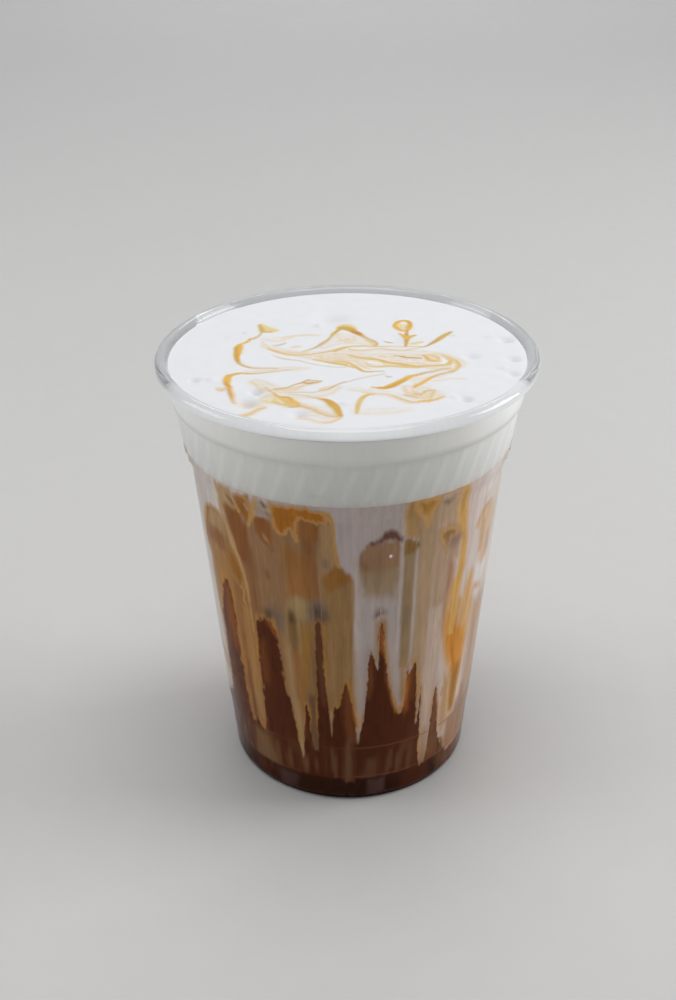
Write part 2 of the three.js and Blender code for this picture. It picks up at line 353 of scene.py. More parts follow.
def edge_height(angle):
    """Height of the dark coffee's edge all round the wall."""
    on_face, back = two_faces(angle)
    height = between(COFFEE_EDGE, on_face)
    height = np.where(back, BACK_TIP_SHARE * height + BACK_TIP_LIFT, height)
    teeth = wall_noise(angle, angle, SMALL_TEETH) * smooth(height, 12, 20)
    return np.clip(height + teeth, COFFEE_EDGE_LOWEST, COFFEE_TOP)


def curve(points, steps=4):
    """A smooth line through the points of a stroke."""
    if len(points) == 1:
        return [points[0], points[0]]
    knots = np.array([points[0], *points, points[-1]], float)
    line = [knots[1]]
    for before, start, end, after in zip(knots, knots[1:], knots[2:], knots[3:]):
        for step in range(1, steps + 1):
            t = step / steps
            bend = (2 * before - 5 * start + 4 * end - after) * t ** 2
            bend = bend + (3 * start - before - 3 * end + after) * t ** 3
            line.append(start + (end - before) * t / 2 + bend / 2)
    return line


def close_by(u, v, spots, reach):
    """Which places are within reach of the box round these spots."""
    left, low = spots.min(0) - reach
    right, high = spots.max(0) + reach
    return np.flatnonzero((u > left) & (u < right) & (v > low) & (v < high))


def along_segment(u, v, start, end):
    """Each place's share of the way along a segment, how far off it lies, and on which side."""
    run, rise = end[0] - start[0], end[1] - start[1]
    du, dv = u - start[0], v - start[1]
    share = np.clip((du * run + dv * rise) / (run * run + rise * rise + 1e-9), 0, 1)
    return share, np.hypot(du - share * run, dv - share * rise), np.sign(run * dv - rise * du)


def inside_stroke(u, v, points, reach):
    """Places within reach of a stroke: which, how far inside its edge they are, and on which side."""
    line = curve(points)
    spots = np.array(line)
    near = close_by(u, v, spots[:, :2], spots[:, 2].max() + reach)
    best = np.full(near.shape, -99.0)
    side = np.zeros(near.shape)
    for start, end in zip(line, line[1:]):
        share, away, own_side = along_segment(u[near], v[near], start, end)
        inside = start[2] + share * (end[2] - start[2]) - away
        nearer = inside > best
        best = np.where(nearer, inside, best)
        side = np.where(nearer, own_side, side)
    return near, best, side


def inside_patch(u, v, corners, reach):
    """Places within reach of a closed outline, and how far inside it each lies, negative outside."""
    corners = np.array(corners)
    near = close_by(u, v, corners, reach)
    x, y = u[near], v[near]
    away = np.full(near.shape, 99.0)
    within = np.zeros(near.shape, bool)
    for start, end in zip(corners, np.roll(corners, -1, axis=0)):
        away = np.minimum(away, along_segment(x, y, start, end)[1])
        run, rise = end - start
        if rise:
            within ^= ((start[1] > y) != (end[1] > y)) & (x < start[0] + (y - start[1]) * run / rise)
    return near, np.where(within, away, -away)


def lay(colour, near, tone, mask):
    """Lays a tone over the colours of these points, by the mask's share."""
    colour[near] = colour[near] * (1 - mask[:, None]) + tone * mask[:, None]


# Soft shapes under the dark coffee's edge on the front of the wall: tone, softness, then either the
# corners of a patch (angle, height) or the points of a stroke (angle, height, half width)
VEILS = [
    ("left pale", 3, (-78, 38, 2.5), (-69, 32, 1.6)),
    ("right beige", 4, (60, 56), (80, 56), (80, 24), (60, 22)),
    ("low right", 4, (56, 23), (80, 26), (80, 6), (56, 6)),
    ("low right", 2, (50, 20), (60, 20), (60, 8), (50, 8)),
    ("low beige", 1.2, (44.6, 38), (49, 33), (50.6, 20), (47.4, 15), (44.8, 20)),
    ("plum right", 1.8, (61.6, 27, 1), (61.6, 20, 1.2)),
    ("tan", 0.8, (-41.2, 86), (-39, 90.4), (-28, 90.6), (-26.9, 95.8), (-8.6, 96), (-5.6, 92), (-4.4, 85),
     (-3.4, 79.5), (-0.8, 77), (1.4, 75.4), (1.6, 40), (1.6, 12), (-42, 12), (-42.6, 62), (-43.6, 72),
     (-46.4, 77)),
    ("left tan", 0.9, (-70.4, 74), (-68.8, 78), (-66.8, 82), (-64.2, 84.8), (-60.4, 86.1), (-53, 86.3),
     (-50.9, 85.3), (-49.4, 82.3), (-48, 78.4), (-44.6, 75), (-42.8, 71.5), (-41.9, 67.6), (-41.3, 60.7),
     (-40.6, 50), (-40.6, 18), (-52, 18), (-66, 24), (-66.2, 46), (-67.6, 52), (-67.6, 62), (-67, 69),
     (-70.2, 72)),
    ("left pale", 1, (-61, 84.6), (-54, 85), (-51.6, 82), (-51.8, 79.6), (-58, 79.4), (-62.6, 80.4)),
    ("left gold", 0.9, (-69.4, 75, 0.7), (-67.2, 79, 1.1), (-65.2, 82.4, 1), (-62.4, 84.8, 0.5)),
    ("left brown", 1.6, (-68.6, 77.4), (-60, 79.8), (-52, 79.4), (-50.8, 75), (-54, 73.4), (-60, 74.6),
     (-68, 73.6)),
    ("left olive", 1.6, (-66, 73), (-52, 72.6), (-49, 66), (-54, 64), (-58, 66), (-64, 57), (-66.6, 58)),
    ("left pale", 1.2, (-66.8, 66, 0.5), (-66.6, 56, 0.6)),
    ("left band", 1.4, (-52, 67), (-45, 66), (-42.4, 62), (-41.8, 50), (-41.4, 18), (-52, 18)),
    ("left red", 1.2, (-51.4, 50), (-49.2, 50), (-49.4, 30), (-51.2, 30)),
    ("left olive", 1.2, (-46.6, 60), (-42.8, 60), (-42, 40), (-42.4, 24), (-45, 24), (-46, 40)),
    ("pale olive", 1.2, (-44.4, 31, 0.6), (-43, 24, 0.6)),
    ("dim brown", 1.2, (-48.6, 40, 0.4), (-47.6, 20, 1.3)),
    ("dim brown", 1.4, (-57.4, 64.6), (-54, 65.4), (-52.4, 61), (-53, 55), (-56, 58)),
    ("left caramel", 1.2, (-50.2, 76), (-47.4, 74.8), (-44.8, 71.6), (-44.4, 68.4), (-46.8, 67),
     (-50, 68.6), (-51.4, 72)),
    ("left pale", 0.9, (-51.4, 96.2), (-43.2, 96.4), (-42.6, 93), (-46, 91.2), (-49.6, 91), (-50.4, 88),
     (-49.8, 84), (-51.8, 84), (-52.8, 88), (-52.2, 92)),
    ("left pale", 0.8, (-50.8, 92), (-43, 93.4), (-40, 90.4), (-44, 74), (-48.4, 78), (-50, 84)),
    ("reddish", 0.9, (-49.8, 89.6), (-48, 91), (-45.4, 89.8), (-43, 90.2), (-41, 89), (-38.8, 86),
     (-38.4, 80), (-39.4, 74), (-42.6, 74.2), (-44.8, 77), (-46.4, 80.4), (-48.6, 84.4)),
    ("dim brown", 0.9, (-46, 93.2, 0.3), (-44.4, 91.6, 0.6)),
    ("left caramel", 0.8, (-41.6, 95.6), (-35.4, 96.2), (-34.6, 93), (-36, 89), (-39, 87.8), (-41.4, 89),
     (-42.6, 91.8)),
    ("dark caramel", 0.8, (-40.6, 93.6, 0.6), (-39.4, 90.2, 0.6)),
    ("right pale", 0.6, (-37.4, 93, 0.4), (-36.8, 91.4, 0.4)),
    ("light film", 0.9, (-34, 96), (-27.8, 96), (-27.4, 92), (-28.8, 90.8), (-31.2, 91.2), (-34.2, 90.2),
     (-35, 92.4)),
    ("brown", 1.6, (-41, 80), (-37.4, 80), (-36.6, 60), (-40.4, 58)),
    ("reddish", 0.8, (-35.2, 90), (-30.6, 90.4), (-28.2, 89.4), (-27.8, 86.4), (-28.4, 82), (-31.8, 83.6),
     (-34.6, 85.8)),
    ("dim brown", 0.7, (-32.4, 84.4, 0.3), (-30, 83, 0.4), (-28.2, 81.8, 0.3)),
    ("crease", 0.5, (-31.6, 85.6, 0.12), (-30.4, 84, 0.25), (-28.8, 82.8, 0.12)),
    ("dim brown", 1, (-31.4, 74, 0.5), (-31, 72.8, 0.6)),
    ("light tan", 1.2, (-33.6, 76, 0.4), (-33.4, 66, 0.5)),
    ("warm tan", 1.6, (-25, 84), (-13, 82), (-11.6, 68), (-24, 68)),
    ("light tan", 0.7, (-23.6, 84, 0.2), (-23.4, 70, 0.3)),
    ("brown", 1.2, (-13.4, 82, 0.9), (-12.6, 70, 1)),
    ("hole", 0.9, (-18.2, 91.4), (-16.6, 93), (-12.4, 92.6), (-10.4, 90.6), (-9.4, 88.8), (-10.8, 86.4),
     (-12.2, 85), (-12.8, 82.4), (-14.4, 81.6), (-15.9, 83.4), (-16.8, 86.6), (-18.2, 88)),
    ("dim brown", 1, (-14.8, 85.4, 0.7), (-14.2, 83.4, 0.8)),
    ("mid pale", 0.8, (-9.6, 91.4), (-5.6, 92), (-5, 86), (-4.4, 80), (-5.6, 78), (-8.6, 76.6), (-10.6, 74),
     (-10.6, 84)),
    ("violet", 1, (-8.2, 80.6, 0.6), (-8, 79.2, 0.6)),
    ("olive brown", 0.8, (-10.4, 76), (-8, 72), (-5, 72.4), (1.2, 74.6), (1.6, 40), (-3, 33), (-10.4, 33)),
    ("mid pale", 0.5, (-10.7, 86, 0.12), (-10.5, 68, 0.15)),
    ("blob", 0.8, (-8.8, 75), (-7.4, 77.2), (-5.6, 78.6), (-3.4, 79.6), (-2, 78.8), (-1.2, 77.2),
     (0.8, 76.4), (0.6, 74.2), (-2.4, 73.6), (-4.7, 73), (-6.4, 70.8), (-8.2, 72)),
    ("pale olive", 1.2, (-24, 66), (-21, 68.6), (-17, 68.4), (-14, 66), (-14.4, 62), (-19, 61),
     (-24, 62.6)),
    ("olive", 0.9, (-23.6, 64.6), (-21.4, 64.4), (-20.4, 60), (-20.2, 50), (-22, 48), (-23.6, 50),
     (-24, 58)),
    ("pale olive", 0.5, (-24.8, 64, 0.2), (-25, 56, 0.35), (-24.8, 46, 0.3)),
    ("pale olive", 0.5, (-20.2, 63, 0.15), (-19.7, 56, 0.3), (-19.8, 50, 0.2)),
    ("stain", 0.9, (-19, 60), (-16, 60), (-14.7, 56), (-15.3, 48), (-16.8, 39), (-18.8, 39), (-19.4, 50)),
    ("olive", 0.9, (-14.6, 60, 0.3), (-14.4, 46, 0.5), (-14.6, 38, 0.8)),
    ("grey halo", 1.6, (-14, 67.8), (-10, 68), (-8.4, 65.4), (-8.8, 61.6), (-14.6, 61.6), (-15, 65)),
    ("violet", 1.6, (-33.8, 62.6), (-30, 64), (-26, 62), (-26, 58), (-28.4, 55), (-31, 59)),
    ("light tan", 0.8, (-29.4, 56), (-24.6, 56), (-24.6, 44), (-25.6, 34), (-28, 32), (-28.8, 44)),
    ("warm tan", 1, (-23.4, 52), (-19.6, 50), (-18, 38), (-19.4, 28), (-22, 32)),
    ("pale olive", 0.9, (-25.4, 36), (-22, 34), (-20.2, 24), (-20.6, 17), (-23.4, 17)),
    ("pale tan", 0.8, (-24.8, 52, 0.7), (-24.6, 42, 0.8), (-23.7, 32, 0.7), (-22.5, 24, 0.8)),
    ("column", 1, (-17.6, 37), (-13.6, 37), (-14, 16), (-18, 16)),
    ("light tan", 0.8, (-7.8, 56, 0.7), (-7.6, 40, 1)),
    ("light tan", 0.8, (-1, 62, 0.5), (-0.6, 42, 0.6)),
    ("mid pale", 0.5, (1.5, 74, 0.2), (1.6, 56, 0.2), (1.7, 38, 0.15)),
    ("warm film", 0.7, (2.2, 56, 0.3), (2.6, 40, 0.5), (3.4, 28, 0.5)),
    ("left film", 1, (3.4, 80, 0.6), (3.6, 54, 0.8)),
    ("low ice", 2.2, (3.4, 80), (18.4, 80), (17.6, 69), (5.2, 70)),
    ("ice", 0.6, (3.3, 81.8), (4.4, 83.6), (6, 85), (7.6, 85.6), (17.6, 85.8), (18.5, 83.4), (18, 78),
     (12, 75.4), (4.2, 77)),
    ("low ice", 1.4, (4.4, 77), (18, 77.4), (17.6, 73), (5, 73)),
    ("brown", 1, (5.8, 79.2, 0.4), (6.8, 78.2, 0.4)),
    ("violet", 1.2, (9.8, 63.4, 0.3), (11.6, 65.4, 0.5), (13.6, 64.4, 0.3)),
    ("warm film", 0.9, (10, 61.5), (14.4, 61.5), (15.4, 49), (9.6, 48)),
    ("dim brown", 1, (13, 61.4, 0.3), (13.2, 56, 0.6)),
    ("gold wash", 0.8, (19.6, 97), (24, 97), (27.4, 91), (27.4, 86), (24, 85), (20.6, 86.2), (19.8, 90)),
    ("left film", 0.5, (19.3, 85, 0.3), (19.2, 52, 0.3)),
    ("right tan", 0.8, (25.4, 97), (33.2, 97), (33.4, 86), (33, 70), (32.4, 40), (29.6, 20), (27.6, 44),
     (25.6, 46), (25.2, 82)),
    ("olive tan", 0.5, (20.1, 84), (24.5, 84), (24.6, 50), (24.4, 45), (20.4, 45), (20.2, 60)),
    ("grey olive", 1.2, (22.4, 65, 0.8), (22.4, 60, 0.8)),
    ("patch", 0.6, (19.9, 85.2), (22.2, 85.6), (23, 84.4), (25.6, 84.2), (26, 82.6), (23.7, 81),
     (21.5, 80.4), (20, 81.3)),
    ("mid pale", 1, (21.6, 48, 0.3), (22.8, 38, 0.8), (22.8, 34, 0.5)),
    ("left film", 0.5, (25, 82, 0.25), (25.1, 50, 0.25)),
    ("right pale", 1, (31.4, 96), (41, 96.4), (41.6, 90), (43.6, 85), (39, 84), (34, 85.6), (32, 90)),
    ("plum", 1, (33.8, 94.4, 0.3), (36, 93.8, 0.6)),
    ("right mid", 1, (33, 86), (45, 86), (45, 75), (39.4, 74), (39.4, 60), (32.8, 60)),
    ("pink film", 0.8, (32.4, 62), (39.6, 62), (39.4, 40), (38.6, 30), (38, 20), (37.4, 8), (33.8, 8),
     (33, 20)),
    ("low film", 3, (35.8, 20, 0.8), (35.6, 8, 2.6)),
    ("low film", 0.7, (30.4, 44, 0.4), (30.2, 34, 0.6), (30.4, 26, 0.4)),
    ("right brown", 1, (39.4, 75), (43.4, 74), (43.8, 66), (43.6, 56), (41, 50), (39.6, 54)),
    ("orange beige", 1.6, (41.2, 64), (44, 68), (47.6, 67), (48.6, 62), (50.8, 60.6), (52, 64.6),
     (54.4, 68.4), (57, 67), (58.6, 61), (60, 54), (59.4, 46), (57.8, 38), (56.4, 26), (54.6, 20.6),
     (50.6, 20.8), (49, 26), (48, 33), (46, 39), (43, 42.6), (41.4, 48), (41.2, 56)),
    ("orange", 1.6, (42.4, 58), (47, 58), (49, 52), (55, 50), (56.4, 44), (55.6, 34), (51.4, 34), (48, 40),
     (43.6, 45), (42, 50)),
    ("low orange", 1.2, (50, 38), (56, 38), (55.6, 28), (54.6, 22), (51, 22), (50, 28)),
    ("deep orange", 0.7, (45.8, 58, 0.2), (46, 50, 0.3), (47.6, 45, 0.4), (50, 40, 0.5), (52, 36, 0.4)),
    ("loop pale", 1.2, (56.6, 84.8, 0.4), (59, 87.4, 0.5), (62.4, 88.4, 0.5)),
    ("loop", 1.2, (54, 80.4), (56.4, 83.4), (59.4, 85.8), (63, 86.6), (67, 85.4), (70, 82.2), (70.8, 76),
     (70, 68), (64, 66), (60, 68), (57.6, 74), (56.4, 79)),
    ("loop gold", 1, (54.6, 80.6, 0.3), (56.6, 82.8, 0.6), (59, 84.8, 0.6), (62, 85.4, 0.4)),
    ("loop gold", 1.2, (60.2, 81, 0.6), (60.4, 72, 0.7)),
    ("loop mauve", 1.6, (64.6, 76.4), (69, 76), (69.4, 69.6), (65, 69)),
    ("loop brown", 1.4, (60, 60.4, 0.8), (65.6, 59.4, 1)),
    ("far milk", 1.6, (60.6, 63.6, 1.2), (66.6, 65, 1.4)),
]

# Sharper shapes over the coffee's edge: pale drips and smears, then sauce, then marks
DRIPS = [
    ("pale olive", 0.6, (-22, 19.4, 0.6), (-21.7, 15, 0.35)),
    ("pale tan", 0.6, (-8.1, 33, 0.3), (-8, 27, 0.15), (-8, 23, 0.1)),
    ("column", 1, (-16, 26, 0.9), (-15.3, 18.4, 0.7)),
    ("warm film", 0.6, (3.6, 26, 0.5), (3.9, 21, 0.15)),
    ("drip", 0.7, (40.2, 35, 0.3), (40.6, 30, 0.5), (41.2, 25, 1), (41, 20, 1)),
    ("right brown", 0.8, (44.8, 32.6, 0.25), (44.4, 29.4, 0.3)),
    ("patch", 1, (47.6, 13.4, 0.5), (49.2, 11.6, 0.7)),
]
SAUCE = [
    ("left gold", 0.7, (-69.8, 75, 0.2), (-68.2, 79.4, 0.3), (-66.2, 82.8, 0.4), (-63.8, 84.9, 0.3),
     (-60.2, 86.1, 0.25), (-55.6, 86.4, 0.2), (-52.6, 86.2, 0.25), (-50.9, 85, 0.35), (-49.6, 82.3, 0.4)),
    ("left gold", 0.9, (-49.6, 82.3, 0.4), (-48.2, 78.4, 0.4), (-45, 75.2, 0.5), (-43.3, 71.5, 0.5),
     (-42.4, 67.6, 0.4), (-41.9, 60.7, 0.3), (-41.5, 52, 0.15)),
    ("left gold", 0.6, (-46, 66, 0.25), (-44.8, 64.6, 0.2), (-45.6, 62.4, 0.2), (-44.6, 60.6, 0.2)),
    ("left pale", 0.7, (-52.6, 86.6, 0.2), (-52.6, 90.6, 0.3), (-51.4, 94, 0.25), (-50, 96, 0.2)),
    ("left gold", 0.7, (-43.4, 95, 0.2), (-42.8, 92, 0.25), (-41.4, 89.4, 0.2)),
    ("dark caramel", 0.7, (-40.4, 95.4, 0.3), (-37.4, 95.6, 0.5), (-36, 93.6, 0.4), (-35.8, 90.8, 0.35),
     (-37, 88.8, 0.3)),
    ("sheet edge", 0.8, (-32.6, 96.2, 0.4), (-34.2, 93.6, 0.6), (-35.6, 90.4, 0.7), (-37.2, 86.8, 0.4)),
    ("caramel", 0.8, (-27.2, 95.9), (-20, 96.1), (-14.3, 96.2), (-8.8, 95.8), (-7, 94.7), (-6.8, 92.6),
     (-8.2, 91.2), (-9.8, 91.4), (-10.8, 90.6), (-12.4, 91.9), (-15.2, 91.6), (-16.6, 92.6), (-18, 91),
     (-18.2, 88), (-17.6, 85.8), (-18.6, 85), (-19.9, 87.2), (-20.8, 88.8), (-21.4, 88.2), (-22.4, 86.6),
     (-25.6, 86.6), (-26.9, 88.2), (-27.6, 92)),
    ("dark caramel", 0.8, (-9, 93.8, 0.6), (-8.2, 92, 0.5)),
    ("gold", 0.45, (-8.4, 95.6, 0.5), (-6.4, 94.2, 0.6), (-5.3, 91.6, 0.45), (-5, 88, 0.4),
     (-4.5, 84, 0.45), (-4, 81, 0.5), (-3.5, 79, 0.4)),
    ("right line", 0.4, (19.4, 97.2, 0.25), (19.4, 93, 0.25), (20, 89, 0.2), (20.6, 86, 0.15)),
    ("right line", 0.6, (20, 97.4, 0.4), (26, 97.4, 0.5), (34, 97, 0.5), (41, 97, 0.4)),
    ("right caramel", 1.2, (22, 97), (31.8, 97), (32.2, 95), (30.7, 92.4), (29.6, 90.2), (28.9, 87.6),
     (27.9, 87.6), (27, 90.2), (24.4, 92.8), (22.6, 94.4)),
    ("right patch", 1.3, (33.4, 85.4), (36, 85.6), (39, 85.6), (43, 85.2), (46, 84.8), (45.6, 83.2),
     (43.5, 82.6), (40, 82), (38.8, 80), (38, 78.2), (37.2, 80.4), (34.6, 82.6)),
    ("patch", 0.8, (36, 83.6, 0.5), (37.6, 82, 0.6), (38.2, 79.8, 0.3)),
    ("right gold", 0.9, (40.6, 97.4), (44, 97.4), (46.1, 94), (46.9, 90.2), (47.6, 85.7), (48.7, 81.8),
     (49.8, 76.4), (50.2, 71.5), (48.7, 66.6), (47.6, 61.7), (47.2, 50), (43.9, 50), (43.9, 60.7),
     (43.9, 66.6), (45.4, 71.5), (45.7, 74.5), (45.4, 78.4), (44.6, 83.3), (42.6, 86.4), (41.7, 89.2),
     (41.3, 93)),
    ("deep gold", 0.9, (44.4, 91, 0.3), (44.8, 87, 0.8)),
    ("deep gold", 0.9, (47, 75, 0.4), (47.3, 71.6, 0.6)),
]
MARKS = [
    ("maroon", 0.5, (6.3, 85.3), (8.1, 86.3), (10.7, 86.7), (12.6, 88.2), (14.8, 89.2), (16.7, 88.3),
     (17.8, 87.1), (19, 86.5), (18.5, 85.4), (16.7, 85.8), (14.8, 86.5), (13, 86.1), (10.4, 85.5),
     (8.1, 85.2)),
    ("plum", 1.2, (39.2, 81.4), (41, 82.4), (44, 81.8), (44.6, 80.8), (42.6, 79.6), (40.4, 79.4)),
    ("spot", 0.5, (-29.5, 95.3, 0.2), (-29.2, 94.5, 0.25)),
    ("violet", 0.7, (-28.7, 92, 0.35), (-28.4, 91.4, 0.35)),
    ("spot", 1.4, (-12.2, 64.8, 0.8), (-11.5, 63.2, 1)),
    ("dark spot", 1.1, (-33.2, 60.9, 0.6), (-32.8, 60.3, 0.7)),
    ("dark spot", 0.9, (-22.6, 62.6, 0.3), (-22.3, 60.6, 0.3)),
    ("dark spot", 0.5, (10.8, 63.6, 0.25), (12, 64, 0.35), (13.6, 63.8, 0.25)),
    ("fringe", 0.5, (16.2, 43, 0.12), (16.9, 40, 0.2), (17.8, 37.4, 0.2), (19, 34.2, 0.3),
     (20.4, 31.8, 0.4), (21.8, 30.4, 0.5), (22.9, 31.4, 0.35), (23.8, 33.4, 0.3), (24.4, 37, 0.3),
     (24.4, 41, 0.15)),
    ("fringe", 0.5, (2, 34, 0.12), (2.8, 30.4, 0.25), (3.6, 26.6, 0.2)),
    ("fringe", 0.5, (-1.6, 43, 0.2), (0, 41, 0.3), (0.8, 38.4, 0.25), (1.6, 35.6, 0.15)),
    ("fringe", 0.4, (13.9, 56, 0.1), (14.4, 51.6, 0.15), (15.2, 48, 0.1)),
]

# Lighter places within the dark coffee
DEPTHS = [
    ("low left", 3, (-82, 24), (-67, 25), (-61, 16), (-66, 8), (-84, 8)),
    ("rust", 2.2, (-56, 62, 1.2), (-56.4, 52, 2.2), (-57, 44, 2.4)),
    ("dim rust", 3, (-62, 52, 0.8), (-60, 40, 2.6), (-59, 28, 3)),
    ("rust", 1.4, (-33, 57.8, 0.7), (-30.4, 55.4, 0.7)),
    ("warm rust", 2, (-37.4, 50, 1), (-37.8, 38, 1)),
    ("coffee edge", 1, (-12, 60, 1.4), (-11.4, 46, 1.2), (-10.8, 34, 0.6)),
    ("dim rust", 1.2, (-20, 30, 0.4), (-19.6, 22, 0.4)),
    ("dim rust", 1.4, (-2.6, 43), (1, 40), (2, 31), (3.6, 22), (-0.4, 20), (-3, 32)),
    ("dim rust", 1.2, (8.3, 51, 0.5), (8.2, 43, 0.8), (7.6, 37, 0.5)),
    ("rust", 1, (12.6, 60, 0.4), (13.2, 52, 0.7)),
    ("dim rust", 1, (15.2, 48, 0.5), (15.8, 42, 0.5)),
    ("rust", 1, (25.6, 47, 0.5), (25.4, 38, 0.9), (24.8, 30, 0.5)),
    ("dim rust", 1.6, (27.6, 44, 0.6), (27.6, 34, 0.9)),
    ("coffee edge", 2.4, (29, 24, 0.8), (30, 12, 1.6)),
    ("coffee edge", 2.4, (39, 20, 1.4), (40, 10, 2)),
    ("low olive", 2, (-50, 18), (-39, 18), (-37, 9), (-50.6, 9)),
    ("crease", 1.4, (-46, 13.4, 0.2), (-43, 10, 0.5), (-40, 8.6, 0.4)),
    ("pale smear", 1.1, (-48.6, 16.4), (-42, 16), (-38.2, 12), (-35.4, 8), (-49.6, 8)),
    ("smear", 1.2, (-35.4, 17, 0.3), (-35.2, 9, 0.8)),
    ("smear", 1, (-28.8, 15, 0.2), (-28.6, 9.4, 0.6)),
    ("smear", 1, (-21, 15, 0.5), (-20.8, 9.4, 0.7)),
    ("smear", 1, (-8.2, 18, 0.3), (-8, 11, 0.4)),
    ("smear", 1.4, (0, 22, 0.4), (-0.6, 14, 1.2), (-0.8, 9, 1.4)),
    ("smear", 0.8, (19, 17, 0.3), (19.4, 11, 0.4)),
    ("smear", 1, (29, 17, 0.3), (28.2, 9, 0.8)),
    ("drip", 2.4, (38, 19), (44, 18), (45, 9), (36.6, 9)),
]

# Places within the foot, under its top line, over its painted shade; the mauve ones are painted reflections
FOOT_SHADE_AND_REFLECTIONS = [
    ("mauve foot", 1.2, (-36, 7.2), (-25, 7.2), (-27, 1.6), (-35, 1.6)),
    ("mauve foot", 1, (8, 7.4), (16.6, 7.4), (16, 1.6), (8.6, 1.6)),
    ("brown foot", 1.6, (24, 7.6), (42, 7.6), (42, 1), (24, 1)),
    ("brown foot", 1.6, (-52, 7), (-38, 7.4), (-38, 4), (-50, 3)),
    ("right foot", 3, (46, 8), (80, 8), (80, 1), (48, 1)),
    ("foot", 1.2, (40, 8, 0.3), (45, 3.4, 0.8)),
    ("low left", 0.8, (-3.6, 9), (2.4, 9), (1.6, 6.6), (-2.6, 6.8)),
]

# A painted highlight on the wall, a small bright spot: angle, height, radius
HIGHLIGHT_SPOT = (15, 81.4, 0.42)
HIGHLIGHT_SOFTNESS = 0.2

# How soft the dark coffee's edge is, by the angle
EDGE_SOFTNESS = [
    (-90, 0.6), (-66, 0.8), (-54, 1), (-51, 0.7), (-41, 0.5), (-38, 0.8), (-31, 0.8), (-28, 0.45),
    (-24, 0.35), (12, 0.32), (30, 0.35), (40, 0.4), (50, 0.6), (90, 0.6),
]

# Noise on each face, as rows for wall_noise: how the paint sways sideways and drops, its ragged
# edges, its shading and its smears
SWAY = [(0.35, 40, 0.05, 7, 0.6, 3), (1.1, 40, 0.2, 7, 0.4, 4)]
DROP = [(0.8, 11, 0.25, 17, 0.8, 14)]
RAGGED = [(1.5, 90, 0.3, 0, 0.45, 5), (4, 50, 0.9, 0, 0.3, 6)]
STREAKS = [(0.8, 60, 0.03, 0, 0.5, 11), (3.1, 20, 0.09, 0, 0.5, 12)]
BLOTCHES = [(0.5, 60, 0.2, 0, 0.6, 21), (1.6, 60, 0.5, 0, 0.4, 22)]
SMEARS = [(0.45, 80, 0.16, 3, 1, 30)]

# How strongly the streaks and the blotches shade each paint
MILK_SHADE = (0.14, 0.10)
VEIL_SHADE = (0.26, 0.22)
COFFEE_SHADE = (0.2, 0.3)
DEPTH_SHADE = (0.2, 0)
FOOT_SHADE = (0, 0.3)
OVER_SHADE = (0.2, 0.4)

# How solid the soft shapes are, and how ragged the edges of soft and of sharp shapes may be
SOFT_COVER = 0.96
SOFT_RAGGED = 0.8
SHARP_RAGGED = 0.5

# The ground darkens towards the coffee's edge, from this far outside it, and towards the foot
EDGE_DARKENS = (-3, 1)
LOW_DARKENS = (17, 8)
DARKENING = 0.3

# Pale smears come where their noise is high, and only low in the dark coffee. The foot's painted
# shade, darker than the coffee, starts at its top line.
SMEAR_NOISE = (-0.15, 0.45)
SMEAR_HEIGHTS = (22, 14)
SMEAR_STRENGTH = 0.6
FOOT_SHADE_STARTS = (FOOT_TOP[1] + 0.5, FOOT_TOP[1] - 0.3)

# On the back, the paint above the low part is the front's, moved with its teeth. Between these
# angles the two faces blend.
PAINT_TOP = 97
LOW_PART_TOP = 30
SIDE_BLEND = (84, 98)
BACK_SEED = 40

# Depths in the paint run from -6 to 6, with 0 at an edge and 1 one softness inside it. The coffee's
# outline has far ends, so that its sides are no edges.
DEEPEST = 6.0
EDGE_REACH = 8.0
FAR_ANGLE = 130
FAR_LOW = -9
EVERYWHERE = slice(None)


def inside_shape(u, v, points, reach):
    """Places near a patch or a stroke on the wall, how far inside it they lie, and its middle angle."""
    middle = sum(point[0] for point in points) / len(points)
    on_wall = [(angle * WALL_MM_PER_DEGREE, *rest) for angle, *rest in points]
    inside_kind = inside_patch if len(points[0]) == 2 else inside_stroke
    near, inside = inside_kind(u, v, on_wall, reach)[:2]
    return near, inside, middle


def soft_shapes(colour, shapes, u, v, ragged, shade):
    """Lays soft patches and strokes over a colour."""
    for tone, soft, *points in shapes:
        near, inside, middle = inside_shape(u, v, points, soft + 1.5)
        mask = SOFT_COVER * smooth(inside + ragged[near] * min(SOFT_RAGGED, soft), -soft, soft)
        lay(colour, near, pigment(tone, middle) * shade[near, None], mask)


def layer_of(shapes, u, v, ragged, shade, start):
    """Colour and depth of a layer of shapes."""
    tones = np.zeros(u.shape + (3,)) + pigment(start)
    depth = np.full(u.shape, -DEEPEST)
    for tone, soft, *points in shapes:
        near, inside, middle = inside_shape(u, v, points, 5 * soft + 1)
        inside = inside + ragged[near] * min(SHARP_RAGGED, 0.6 * soft)
        level = np.clip(inside / soft, -DEEPEST, DEEPEST)
        lay(tones, near, pigment(tone, middle) * shade[near, None], smooth(level - depth[near], -1, 1))
        depth[near] = np.maximum(depth[near], level)
    return tones, depth


def milk_all_round(angle):
    """The milk's own colour round the wall."""
    rows = [(at, pigment(tone, at)) for at, tone in MILK_ROUND]
    return np.stack([between([(at, colour[i]) for at, colour in rows], angle) for i in range(3)], -1)


def below_edge(angle, u, v):
    """How far each place is under the coffee's edge, and the same in the edge's own softnesses."""
    left_end = [(-FAR_ANGLE, FAR_LOW), (-FAR_ANGLE, COFFEE_EDGE[0][1])]
    right_end = [(FAR_ANGLE, COFFEE_EDGE[-1][1]), (FAR_ANGLE, FAR_LOW)]
    near, inside = inside_shape(u, v, [*left_end, *COFFEE_EDGE, *right_end], EDGE_REACH)[:2]
    below = np.full(u.shape, -EDGE_REACH)
    below[near] = inside
    return below, np.clip(below / between(EDGE_SOFTNESS, angle), -DEEPEST, DEEPEST)


